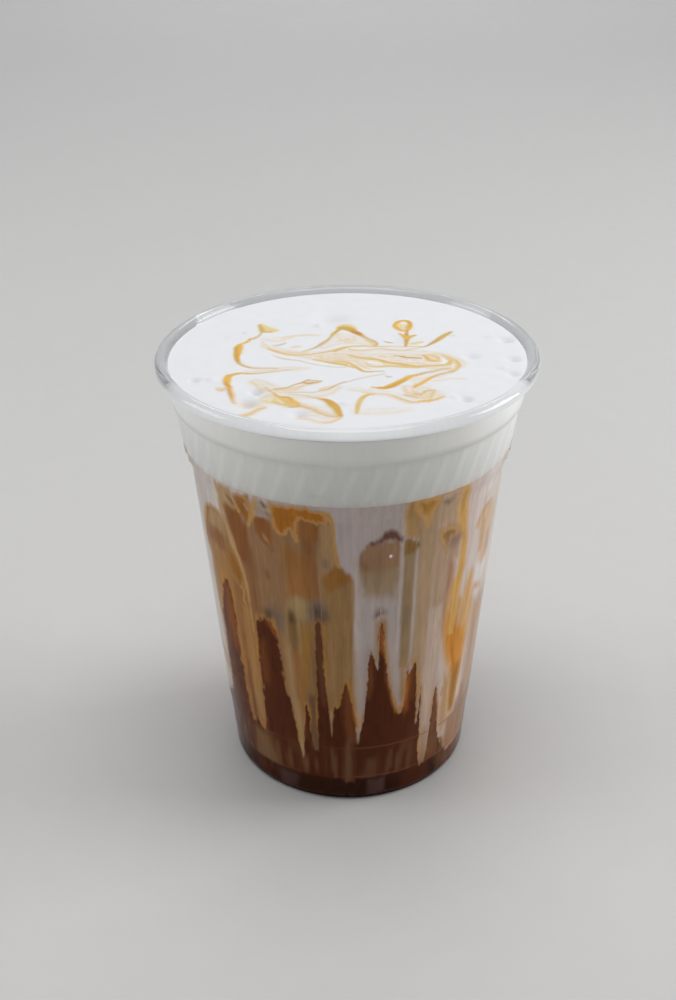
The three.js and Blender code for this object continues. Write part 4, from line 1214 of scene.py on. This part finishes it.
    ("pale gold", 0.5, 0, 0.9, (14.2, 19.8, 0.82), (15.7, 19.5, 0.82)),
    ("gold", 0.4, 0, 0.6, (14.3, 18.3, 0.15), (15.2, 17.4, 0.26), (15.9, 18.3, 0.26)),
    ("amber", 0.4, 0, 0.7, (16.1, 23.1, 0.15), (16.9, 21.6, 0.26), (16.7, 18.9, 0.26)),
    ("white", 0.3, 0, 0.5, (15.1, 20, 0.38)),
    ("amber", 0.35, 0, 0.9, (16, 15.6, 0.32), (15.7, 13.3, 0.38), (15.7, 10.6, 0.6), (15.4, 7.8, 0.43),
     (15.2, 4.4, 0.17)),
    ("honey", 0.4, 0, 0.85, (14, 13.5, 0.26), (15, 11.8, 0.43), (15.7, 10.4, 0.6), (16.8, 11.5, 0.54),
     (17.9, 12.3, 0.32)),
    ("pale gold", 0.6, 0, 0.8, (16.2, 6.3, 0.32), (17.5, 6.7, 0.71), (19.3, 7.7, 0.49)),
    ("thread", 0.4, 0, 0.85, (9.8, 8.2, 0.26), (10.9, 7.9, 0.49), (11.9, 8.1, 0.21)),
    ("gold", 0.35, 0, 0.85, (27.6, 14.6, 0.32), (26.1, 12.7, 0.6), (24.4, 10.2, 0.71), (23, 7.9, 0.6),
     (21.6, 6.2, 0.43)),
    ("brown", 0.35, 0, 0.85, (23.9, 9, 0.21), (22.5, 7.2, 0.32), (21.1, 5.5, 0.38), (19.8, 4.3, 0.26)),
    ("tan", 0.35, 0, 0.85, (-3.1, 2, 0.54), (-1.8, 3.5, 0.6), (-0.3, 4.6, 0.49), (1.6, 5.1, 0.38),
     (4, 5.1, 0.38), (6.3, 4.8, 0.38), (7.6, 5.2, 0.26)),
    ("thread", 0.3, 0, 0.8, (7.4, 5.1, 0.26), (9.8, 4.8, 0.2), (12.3, 5.1, 0.17), (14.7, 4.6, 0.2),
     (17, 4.7, 0.2), (19.8, 4.3, 0.22)),
    ("tan", 0.35, 0, 0.7, (0.5, 3.5, 0.26), (2.4, 2.5, 0.32), (5, 2.6, 0.26), (7.6, 3.2, 0.24),
     (9.7, 3.1, 0.26), (11.8, 2.2, 0.26), (14.3, 1.8, 0.26), (16.7, 2.8, 0.26), (19.6, 4, 0.26)),
    ("wash", 0.3, 0, 0.6, (5.9, 4.3, 0.26), (11.9, 3.7, 0.38), (17.2, 3.9, 0.26)),
    ("cream", 0.5, 0, 0.6, (-3.1, 0.3, 0.38), (0.1, -0.3, 0.38), (1.8, 0.2, 0.15)),
    ("tan", 0.35, 0, 0.95, (0.3, -0.7, 0.21), (1.8, -1.6, 0.38), (3.9, -2.8, 0.49), (5.9, -3.3, 0.54),
     (8, -4, 0.66), (9.7, -5.4, 0.71), (11.5, -6.2, 0.49), (13.4, -6.9, 0.54), (15, -7.7, 0.6),
     (17.2, -8.3, 0.49), (19.7, -8.5, 0.38), (22.2, -8.3, 0.38), (24.3, -7.6, 0.43), (25.6, -6.2, 0.43),
     (25.2, -4.1, 0.26)),
    ("honey", 0.4, 0, 0.5, (8.6, -4.5, 0.21), (10.3, -5.8, 0.26), (12.3, -6.4, 0.21), (14.6, -7.4, 0.26),
     (16.8, -8.1, 0.21)),
    ("tan", 0.35, 0, 0.75, (5, -6.9, 0.15), (6.1, -8.1, 0.22), (7.7, -8.6, 0.32), (9.8, -8, 0.43),
     (11.9, -8, 0.43), (14.1, -8.7, 0.49), (16.4, -9.2, 0.38), (18.9, -9.1, 0.21)),
    ("brown", 0.35, 0, 0.8, (12, -1.4, 0.15), (13.8, -2, 0.29), (15.2, -2.8, 0.35), (16.9, -3.1, 0.35),
     (18.7, -3.4, 0.17)),
    ("peach", 0.4, 0, 0.7, (12.3, -0.5, 0.15), (14.8, -1.4, 0.26), (18, -2, 0.26), (19.5, -1.8, 0.15)),
    ("cream", 0.4, 0, 0.9, (19.9, -1.8, 0.49), (21.3, -2.9, 1.16), (22.7, -4.3, 0.82)),
    ("honey", 0.4, 0, 0.7, (19.4, -1.3, 0.26), (20.1, -2.6, 0.38), (20.4, -4.2, 0.49), (21.6, -5.3, 0.43),
     (23.1, -5.5, 0.26)),
    ("tan", 0.4, 0, 0.7, (20.4, -0.7, 0.26), (22, -1.6, 0.43), (23, -2.9, 0.38), (23.2, -4.6, 0.26)),
    ("white", 0.4, 0, 0.6, (23.9, -4.3, 0.38), (24.7, -5.1, 0.49), (24, -6.7, 0.38)),
    ("cream", 0.5, 0, 0.95, (21.9, -0.2, 0.26), (24.1, -1.2, 0.6), (25.7, -3, 0.82), (26.8, -4.9, 1.05),
     (27.3, -7.3, 1.05), (26.7, -9.9, 0.82), (25.3, -11.5, 0.49)),
    ("tan", 0.4, 0, 0.65, (24.3, -1.8, 0.17), (25.9, -3.4, 0.38), (26.1, -5.7, 0.43), (25.7, -7.8, 0.26)),
    ("tan", 0.5, 0, 0.75, (27.1, -4.4, 0.21), (27.9, -6.5, 0.43), (27.9, -8.7, 0.38), (26.8, -11.1, 0.38),
     (25.5, -12, 0.26)),
    ("white", 0.4, 0, 0.5, (26.6, -7.3, 0.26), (26.4, -9.4, 0.26)),
    ("thread", 0.3, -1.2, 0.9, (25.2, -10, 0.15), (23.1, -10.8, 0.24), (21.2, -11.9, 0.29),
     (19.3, -12.7, 0.38), (17.4, -13.8, 0.43), (15.3, -15, 0.49)),
    ("honey", 0.35, 0, 0.95, (17.4, -13.8, 0.26), (15.5, -14.9, 0.54), (14, -16.6, 0.77),
     (12.5, -18.6, 0.88), (10.8, -20.4, 0.94), (9.2, -21.4, 0.71), (7.6, -21.4, 0.43), (5.8, -21, 0.15)),
    ("amber", 0.35, 0, 0.8, (14.4, -16.4, 0.15), (12.7, -18.8, 0.43), (11, -20.6, 0.54), (9, -21.8, 0.43),
     (7.4, -21.5, 0.21)),
    ("thread", 0.35, 0, 0.85, (26.3, -11.9, 0.21), (24, -13, 0.26), (21.8, -14.4, 0.35),
     (20.1, -16.3, 0.38)),
    ("honey", 0.35, -1, 0.85, (21, -15.4, 0.21), (19.4, -17.3, 0.43), (17.9, -19.2, 0.49),
     (16.7, -20.5, 0.43), (16.2, -21.5, 0.21)),
    ("peach", 0.6, 0, 0.6, (20.8, -17.5, 0.38), (23.1, -17.2, 0.38), (25.4, -16, 0.26),
     (28.8, -16.3, 0.26)),
    ("tan", 0.35, 0, 0.8, (-3.1, -5.7, 0.49), (-1.4, -6.8, 0.49), (0.3, -8.1, 0.38), (1.7, -8.9, 0.38)),
    ("tan", 0.35, 0, 0.9, (-3.1, -4.6, 0.21), (-1.2, -4.9, 0.38), (0.5, -6.1, 0.43), (1.7, -7.9, 0.49),
     (2.9, -9.7, 0.54), (3.9, -11.1, 0.49), (5.2, -11.6, 0.43), (6.8, -11.3, 0.32), (9.1, -11.2, 0.17)),
    ("thread", 0.3, 0, 0.6, (2.1, -8.7, 0.15), (3.3, -10.6, 0.29), (4.5, -11.6, 0.26), (6, -11.6, 0.15)),
    ("cream", 0.4, 0, 0.8, (1.9, -4.7, 0.26), (3.2, -6.8, 0.38), (4.4, -9, 0.38), (5.6, -9.8, 0.26)),
    ("white", 0.4, 0, 0.6, (5.5, -5.4, 0.38), (6.9, -6.1, 0.54), (8.4, -6.4, 0.38)),
    ("peach", 0.5, 0, 0.7, (6.5, -24.7, 0.38), (8.1, -25.2, 0.26)),
    ("tan", 0.45, 0, 0.85, (6.3, -25.2, 0.21), (4.9, -25.4, 0.49), (3.8, -26.6, 0.54), (2.9, -28.9, 0.6),
     (2.3, -31.7, 0.54), (2, -35.9, 0.26)),
    ("honey", 0.4, 0, 0.5, (6.1, -25.4, 0.17), (4.9, -25.7, 0.26), (3.9, -27, 0.21)),
    ("cream", 0.45, 0, 0.85, (3.5, -23.9, 0.15), (6.9, -24.6, 0.26), (9.9, -25.6, 0.38),
     (12.4, -27.8, 0.49), (14.6, -29.6, 0.49), (16.8, -30.1, 0.38)),
    ("thread", 0.3, 0, 0.7, (10.8, -26, 0.11), (12.8, -27.7, 0.2), (14.7, -29.2, 0.22),
     (16.2, -29.7, 0.17)),
    ("cream", 0.5, 0, 0.85, (13.7, -23.3, 0.38), (15.6, -25.6, 0.82), (17.5, -26.6, 1.05),
     (19.6, -25.9, 1.05), (20.9, -23.5, 0.6)),
    ("thread", 0.35, 0, 0.75, (13.4, -25.5, 0.17), (15.2, -26.5, 0.26), (16.7, -27.3, 0.21)),
    ("thread", 0.35, 0, 0.8, (16, -25.1, 0.21), (17.6, -25.4, 0.32), (18.5, -23.9, 0.32),
     (19.7, -23.2, 0.32), (21, -22.8, 0.17)),
    ("tan", 0.35, 0, 0.6, (19.7, -26.9, 0.21), (20.3, -24.9, 0.26), (20.9, -23.5, 0.21)),
    ("honey", 0.4, 0, 0.85, (16.8, -29.4, 0.17), (18.2, -29.3, 0.49), (19.6, -28.8, 0.38),
     (21.2, -28.2, 0.26), (23.3, -26.7, 0.13)),
    ("peach", 0.4, 0, 0.8, (18.4, -25.1, 0.49), (19.4, -25.6, 0.49)),
]
GLOSS_SPREAD = 0.04
MATT_SPREAD = -0.02
STROKE_GAIN = 1.15
TAIL_GAIN = 0.55


def top_pigment(tone):
    """The surface colour that looks like this tone in the light on the foam's top."""
    return seen_light(TOP_TONE[tone]) / TOP_LIGHT


def foam_relief(x, y):
    """Height of the foam's top over its edge's height: soft swells, dents and small ridges."""
    out = np.hypot(x, y) / fill_radius(FOAM_EDGE)
    rise = (FOAM_MIDDLE - FOAM_EDGE) * (1 - out ** 4)
    for blobs, seed, swell, sharpness in SWELLS:
        rise = rise + swell * top_noise(x, y, blobs, 20, seed) * (1 - out ** sharpness)
    for spots, gain in ((FOAM_DENTS, -DENT_GAIN), (FOAM_RIDGES, RIDGE_GAIN)):
        for spot_x, spot_y, size, depth in spots:
            rise = rise + gain * depth * smooth(np.hypot(x - spot_x, y - spot_y), size, 0)
    return rise


def lay_washes(colour, x, y, blotch):
    """Lays the drizzle's pale washes, with fine tan threads that flow along them."""
    for tone, soft, strength, *points in WASHES:
        near, inside, side = inside_stroke(x, y, points, 3)
        flow = clouds(inside * THREAD_BLOBS + 30 + 15 * side, blotch[near] * THREAD_BEND + 60, 84)
        threads = smooth(flow, *THREAD_SHOWS)
        uneven = 0.6 + 0.3 * blotch[near] + 0.4 * threads
        mask = np.clip(smooth(inside + WASH_SPREAD, -soft, soft) * strength * uneven, 0, 1)
        lay(colour, near, top_pigment(tone), mask)
        lay(colour, near, top_pigment("tan"), THREAD_STRENGTH * mask * threads)


def lay_strokes(colour, sauce, x, y, blotch):
    """Lays the drizzle's strokes and notes where glossy sauce lies."""
    for tone, soft, fade, strength, *points in STROKES:
        near, inside, side = inside_stroke(x, y, points, 3)
        glossy = tone in GLOSS_TONES
        spread = GLOSS_SPREAD if glossy else MATT_SPREAD
        mask = smooth(inside + spread, -soft, soft * 0.5) * min(1, STROKE_GAIN * strength)
        if fade:
            tail = smooth(inside, -abs(fade), 0.1) * (side * fade > 0) * TAIL_GAIN * strength
            mask = np.maximum(mask, tail)
        mask = np.clip(mask * (1 + 0.15 * blotch[near]), 0, 1)
        lay(colour, near, top_pigment(tone), mask)
        if glossy:
            sauce[near] = np.maximum(sauce[near], mask)


def foam_paint(x, y):
    """Colour of the foam's top, with painted shade in its dents, and how much glossy sauce lies there."""
    wander_x = x + DRIZZLE_WANDER * top_noise(x, y, 0.4, 39, 81)
    wander_y = y + DRIZZLE_WANDER * top_noise(x, y, 0.4, 39, 82)
    blotch = top_noise(x, y, 0.7, 60, 83)
    # painted shade: each dent is darkened, a little to one side of its middle
    shaded = np.zeros(x.shape)
    for dent_x, dent_y, size, depth in FOAM_DENTS:
        away = np.hypot(x - dent_x - 0.2 * size, y - dent_y)
        shaded += DENT_SHADE * depth * smooth(away, 0.8 * size, 0)
    colour = top_pigment("foam") * (1 - shaded)[:, None]
    sauce = np.zeros(x.shape)
    lay_washes(colour, wander_x, wander_y, blotch)
    lay_strokes(colour, sauce, wander_x, wander_y, blotch)
    return colour, sauce


# How pale the foam's side is at each height, from its foot to the rim, and at each angle; the dips
# are shade. It is a little warmer at the front and thins to milk at its foot.
FOAM_SIDE_LEVELS = [
    (97, 0.73), (101, 0.78), (104, 0.82), (107.6, 0.85), (108.7, 0.77), (109.6, 0.86), (111, 0.97),
    (114, 1), (116.4, 1), (116.9, 0.7), (118.2, 0.78),
]
FOAM_SIDE_TURN = [(-180, 0.97), (-30, 0.97), (0, 0.99), (35, 0.86), (60, 0.99), (180, 1.0)]
FOAM_SIDE_STREAKS = [(64 / 30, 70, 0.15, 0, 0.03, 91)]
FOAM_FOOT_WAVES = [(64 / 40, 70, 0, 0, 1.6, 92)]
FOAM_FOOT_RISE = 1.3
WARMTH = np.array([0, 0.006, 0.06])
WARM_HEIGHTS = (117.2, 115.4)
WARM_ANGLES = (80, 30)
# Painted highlight: the foam is a little paler behind each rib's crest
RIB_CREST_HIGHLIGHT = 0.05

# One faint smudge on the foam's side: angle, height, half width, half height, strength
SMUDGE = (-10, 99.6, 1.4, 0.6, 0.10)


def foam_side_paint(angle, height):
    """Colour of the foam behind the band and the collar, with painted shade in its dips and painted
    highlights along the rib crests.
    """
    turned = np.abs(wrapped(angle)) * np.sign(np.sin(np.radians(angle)))
    level = between(FOAM_SIDE_LEVELS, height) * between(FOAM_SIDE_TURN, turned)
    # painted highlight along the rib crests
    level = level + RIB_CREST_HIGHLIGHT * (rib_height(angle, height) / RIB_DEPTH) ** 2
    level = level + wall_noise(angle, height, FOAM_SIDE_STREAKS)
    warm = smooth(height, *WARM_HEIGHTS) * smooth(np.abs(turned), *WARM_ANGLES)
    colour = (1 - warm[:, None] * WARMTH) * level[:, None]
    edge = FOAM_BOTTOM + FOAM_FOOT_RISE + wall_noise(angle, height, FOAM_FOOT_WAVES)
    lay(colour, EVERYWHERE, pigment("film") * 1.1, smooth(height, edge, FOAM_BOTTOM) * 0.5)
    middle, level_of_smudge, half_width, half_height, strength = SMUDGE
    across = (two_faces(angle)[0] - middle) * WALL_MM_PER_DEGREE / half_width
    smudge = smooth(np.hypot(across, (height - level_of_smudge) / half_height), 2.0, 0.2)
    return colour * (1 - strength * smudge)[:, None]


def make_foam():
    """The cold foam: it fills the ribbed band and the collar, and its top carries the drizzle."""
    piece = make_drum("foam_body", FOAM_COLUMNS, FOAM_ROWS, FOAM_RINGS, bottom_rings=2)
    angle, up, out, on_wall = drum_parts(piece)
    top = (up > 0.5) & ~on_wall
    swirl = SWIRL_REACH / fill_radius(FOAM_EDGE)
    out = np.where(top, between([(0, 0), (SWIRL_RINGS / FOAM_RINGS, swirl), (1, 1)], out), out)
    wall_rows = (FOAM_ROWS - FOAM_LIP_ROWS) / FOAM_ROWS
    wall_height = between([(0, FOAM_BOTTOM), (wall_rows, LIP_BOTTOM), (1, FOAM_EDGE)], up)
    around_lip = np.clip((wall_height - LIP_BOTTOM) / (FOAM_EDGE - LIP_BOTTOM), 0, 1)
    lip = LIP_REACH * np.sin(math.pi * around_lip ** 0.7) * smooth(np.abs(angle), *LIP_ANGLES)
    radius = out * filled_radius(angle, wall_height) + np.where(on_wall, lip, 0)
    x = radius * np.sin(np.radians(angle))
    y = -radius * np.cos(np.radians(angle))
    paint, sauce = foam_paint(x, y)
    top_height = FOAM_EDGE + foam_relief(x, y) + DRIZZLE_RISE * sauce
    height = np.where(on_wall, wall_height, np.where(top, top_height, FOAM_BOTTOM))
    put_points(piece, angle, radius, height)
    at_top = (up > 0.5) & (out < 0.9995)
    store_colour(piece, "Foam", np.where(at_top[:, None], paint, foam_side_paint(angle, wall_height)))
    layer = piece.data.attributes.new("Sauce", "FLOAT", "POINT")
    layer.data.foreach_set("value", np.where(at_top, sauce, 0).astype(np.float32))
    finish_piece(piece, "cold_foam", foam_finish(), crease=50)


def new_material(name):
    """A node material, its tree and its Principled shader."""
    material = bpy.data.materials.new(name)
    material.use_nodes = True
    return material, material.node_tree, material.node_tree.nodes["Principled BSDF"]


def plug(tree, made, inputs):
    """Fills a node's inputs, each from another node's output or with a plain value."""
    for place, value in inputs.items():
        if isinstance(value, bpy.types.NodeSocket):
            tree.links.new(value, made.inputs[place])
        else:
            made.inputs[place].default_value = value
    return made


def new_node(tree, kind, inputs, **settings):
    """A new node with these settings and inputs."""
    made = tree.nodes.new(kind)
    for name, value in settings.items():
        setattr(made, name, value)
    return plug(tree, made, inputs)


def own_place(tree):
    """The piece's own coordinates."""
    return new_node(tree, "ShaderNodeTexCoord", {}).outputs["Object"]


def noise_on_object(tree, scale, stretch, detail=3.0):
    """Noise on the piece's own coordinates, stretched by these shares along X, Y and Z."""
    mapping = new_node(tree, "ShaderNodeMapping", {"Vector": own_place(tree), "Scale": stretch})
    inputs = {"Vector": mapping.outputs["Vector"], "Scale": scale, "Detail": detail}
    return new_node(tree, "ShaderNodeTexNoise", inputs).outputs["Fac"]


def span(tree, source, low, high, source_low=0.3, source_high=0.7, **settings):
    """A value from 0 to 1 spread from low to high."""
    ends = {"From Min": source_low, "From Max": source_high, "To Min": low, "To Max": high}
    return new_node(tree, "ShaderNodeMapRange", {"Value": source, **ends}, **settings).outputs["Result"]


def step_up(tree, value, low, high, top=1.0):
    """0 below low, top above high, soft between; low may be the larger."""
    ends = (0, top) if low < high else (top, 0)
    return span(tree, value, *ends, min(low, high), max(low, high), interpolation_type="SMOOTHSTEP")


def worked(tree, operation, first, second):
    """Two values made one by a Math node's operation."""
    return new_node(tree, "ShaderNodeMath", {0: first, 1: second}, operation=operation).outputs[0]


def mixed(tree, share, under, over):
    """One colour laid over another by a share."""
    inputs = {"Factor": share, "A": under, "B": over}
    return new_node(tree, "ShaderNodeMix", inputs, data_type="RGBA").outputs["Result"]


def painted(tree, attribute, shade):
    """The painted colour with a shade multiplied in, and its depth."""
    paint = new_node(tree, "ShaderNodeAttribute", {}, attribute_name=attribute)
    inputs = {0: paint.outputs["Color"], "Scale": shade}
    shaded = new_node(tree, "ShaderNodeVectorMath", inputs, operation="SCALE")
    return shaded.outputs["Vector"], paint.outputs["Alpha"]


def plain(tone):
    """A tone as a plain colour for a shader."""
    return (*[float(value) for value in pigment(tone)], 1)


def drink_finish(name, roughness):
    """Coffee, milk and caramel against the wall, from the painted layers, with crisp ragged edges."""
    material, tree, shader = new_material(name)
    broad = noise_on_object(tree, 700, (1, 1, 0.05), 2.0)
    fine = noise_on_object(tree, 2200, (1, 1, 0.05), 2.0)
    streaks = worked(tree, "MULTIPLY", span(tree, broad, 0.94, 1.06), span(tree, fine, 0.96, 1.04))
    quiet = span(tree, broad, 0.97, 1.03)
    ragged = span(tree, noise_on_object(tree, 1100, (1, 1, 0.35)), -0.3, 0.3)
    frill = span(tree, noise_on_object(tree, 900, (1, 1, 0.55), 4.0), -1.0, 1.0)
    ground, depth = painted(tree, "Ground", streaks)
    depth = worked(tree, "ADD", depth, frill)
    lip = worked(tree, "MULTIPLY", step_up(tree, depth, -3.4, -0.8), step_up(tree, depth, 0.4, -0.6))
    lip = worked(tree, "MULTIPLY", lip, step_up(tree, broad, 0.40, 0.62, 0.68))
    colour = mixed(tree, lip, ground, plain("gold"))
    colour = mixed(tree, step_up(tree, depth, -0.8, 0.8), colour, painted(tree, "Coffee", quiet)[0])
    for layer, blur in (("Drips", 0.8), ("Sauce", 0.8), ("Marks", 1.8)):
        over, depth = painted(tree, layer, quiet)
        depth = worked(tree, "ADD", depth, ragged)
        if layer == "Sauce":
            inner = step_up(tree, depth, 1.6, 0.3, 0.65)
            rim = worked(tree, "MULTIPLY", step_up(tree, depth, -0.6, 0), inner)
            over = mixed(tree, rim, over, plain("light gold"))
        colour = mixed(tree, step_up(tree, depth, -blur, 0.75 * blur, 0.92), colour, over)
    wet = noise_on_object(tree, 300, (1, 1, 0.2))
    plug(tree, shader, {
        "Base Color": step_highlight_lines(tree, colour),
        "Roughness": span(tree, wet, roughness - 0.08, roughness + 0.08),
        "Specular IOR Level": 0.05,
    })
    return material


def step_highlight_lines(tree, colour):
    """Fine painted highlight lines over a colour where the cup steps in at its ring and its foot, for the
    step's edge catching light.
    """
    height = new_node(tree, "ShaderNodeSeparateXYZ", {0: own_place(tree)}).outputs["Z"]
    patches = step_up(tree, noise_on_object(tree, 45, (1, 1, 0.5), 2.0), 0.35, 0.6, 0.6)
    for line in (FOOT_TOP[1] + 2 * STEP, RING[1] + 2 * STEP):
        low_side = step_up(tree, height, (line - 0.35) * MM, line * MM)
        high_side = step_up(tree, height, (line + 0.4) * MM, (line + 0.1) * MM)
        share = worked(tree, "MULTIPLY", worked(tree, "MULTIPLY", low_side, high_side), patches)
        # painted highlight along the step's edge, broken into patches
        colour = mixed(tree, share, colour, plain("ring"))
    return colour


def foam_finish():
    """White foam, matt and faintly bubbled, with a little shine where sauce lies on it."""
    material, tree, shader = new_material("Cold foam")
    shade = span(tree, noise_on_object(tree, 260, (1, 1, 1)), 0.985, 1.01)
    sauce = new_node(tree, "ShaderNodeAttribute", {}, attribute_name="Sauce").outputs["Fac"]
    bubbles = noise_on_object(tree, 1400, (1, 1, 1), 2.0)
    bump = new_node(tree, "ShaderNodeBump", {"Strength": 0.12, "Distance": 0.2 * MM, "Height": bubbles})
    plug(tree, shader, {
        "Base Color": painted(tree, "Foam", shade)[0],
        "Roughness": span(tree, sauce, 0.62, 0.3, 0, 1),
        "Normal": bump.outputs["Normal"],
        "Specular IOR Level": 0.3,
    })
    return material


def clear_plastic(name, bend, mirror, tint):
    """Clear thin plastic that lets lamps through; bend is its index of refraction, mirror its sheen."""
    material, tree, shader = new_material(name)
    plug(tree, shader, {
        "Base Color": tint,
        "Transmission Weight": 1,
        "IOR": bend,
        "Specular Tint": (mirror, mirror, mirror, 1),
        "Roughness": span(tree, noise_on_object(tree, 60, (1, 1, 0.4), 1.0), 0.02, 0.06),
    })
    path = new_node(tree, "ShaderNodeLightPath", {})
    either = worked(tree, "MAXIMUM", path.outputs["Is Shadow Ray"], path.outputs["Is Diffuse Ray"])
    through = new_node(tree, "ShaderNodeBsdfTransparent", {})
    mix = new_node(tree, "ShaderNodeMixShader", {0: either, 1: shader.outputs[0], 2: through.outputs[0]})
    plug(tree, tree.nodes["Material Output"], {"Surface": mix.outputs[0]})
    return material


def stage_finish():
    """A plain pale paper for the floor and backdrop."""
    material, tree, shader = new_material("Pale paper")
    grain = noise_on_object(tree, 90, (1, 1, 1))
    paper = mixed(tree, grain, (0.53, 0.525, 0.52, 1), (0.55, 0.545, 0.54, 1))
    plug(tree, shader, {"Base Color": paper, "Roughness": 0.9, "Specular IOR Level": 0.1})
    return material


def make_camera():
    """The camera at the photograph's viewing angle."""
    data = bpy.data.cameras.new("Camera")
    data.lens = CAMERA_LENS
    data.sensor_width = 36
    data.sensor_fit = "AUTO"
    data.clip_start = 0.01
    data.clip_end = 50
    camera = bpy.data.objects.new("Camera", data)
    bpy.context.scene.collection.objects.link(camera)
    tilt = Matrix.Rotation(math.pi / 2 - CAMERA_PITCH, 4, "X")
    turn = Matrix.Rotation(CAMERA_YAW, 4, "Z") @ tilt @ Matrix.Rotation(-CAMERA_ROLL, 4, "Z")
    camera.matrix_world = Matrix.Translation(Vector(CAMERA_PLACE) * MM) @ turn
    bpy.context.scene.camera = camera


def make_stage():
    """A pale floor that curves up into a backdrop."""
    stage = begin("stage", bpy.ops.mesh.primitive_plane_add, size=STAGE_FLOOR, location=(0, 0, 0))
    with editing(stage, "VERT", coordinates(stage)[:, 1] > 0):
        bpy.ops.mesh.extrude_edges_move(TRANSFORM_OT_translate={"value": (0, 0, STAGE_WALL)})
    points = coordinates(stage)
    on_crease = (points[:, 1] > 0) & (np.abs(points[:, 2]) < CLOSE)
    with editing(stage, "EDGE", on_crease[edge_ends(stage)].all(axis=1)):
        bpy.ops.mesh.bevel(offset=STAGE_CURVE, segments=12, affect="EDGES")
    bpy.ops.object.shade_smooth_by_angle(angle=math.radians(40))
    stage.data.materials.append(stage_finish())


def soft_lamp(name, place, target, size, watts, colour):
    """A square lamp that faces its target."""
    data = bpy.data.lights.new(name, "AREA")
    data.shape = "SQUARE"
    data.size = size
    data.energy = watts
    data.color = colour
    lamp = bpy.data.objects.new(name, data)
    bpy.context.scene.collection.objects.link(lamp)
    lamp.location = place
    aim = Vector(target) - Vector(place)
    lamp.rotation_euler = aim.to_track_quat("-Z", "Y").to_euler()


def make_lights():
    """A soft pale room and its four lamps."""
    world = bpy.data.worlds.new("Soft room")
    world.use_nodes = True
    room = {"Color": (0.93, 0.96, 1.0, 1), "Strength": 0.25}
    plug(world.node_tree, world.node_tree.nodes["Background"], room)
    bpy.context.scene.world = world
    for lamp in LAMPS:
        soft_lamp(*lamp)
    bpy.context.scene.view_settings.view_transform = "Standard"


make_camera()
make_stage()
make_lights()
make_cup()
make_coffee()
make_milk()
make_foam()
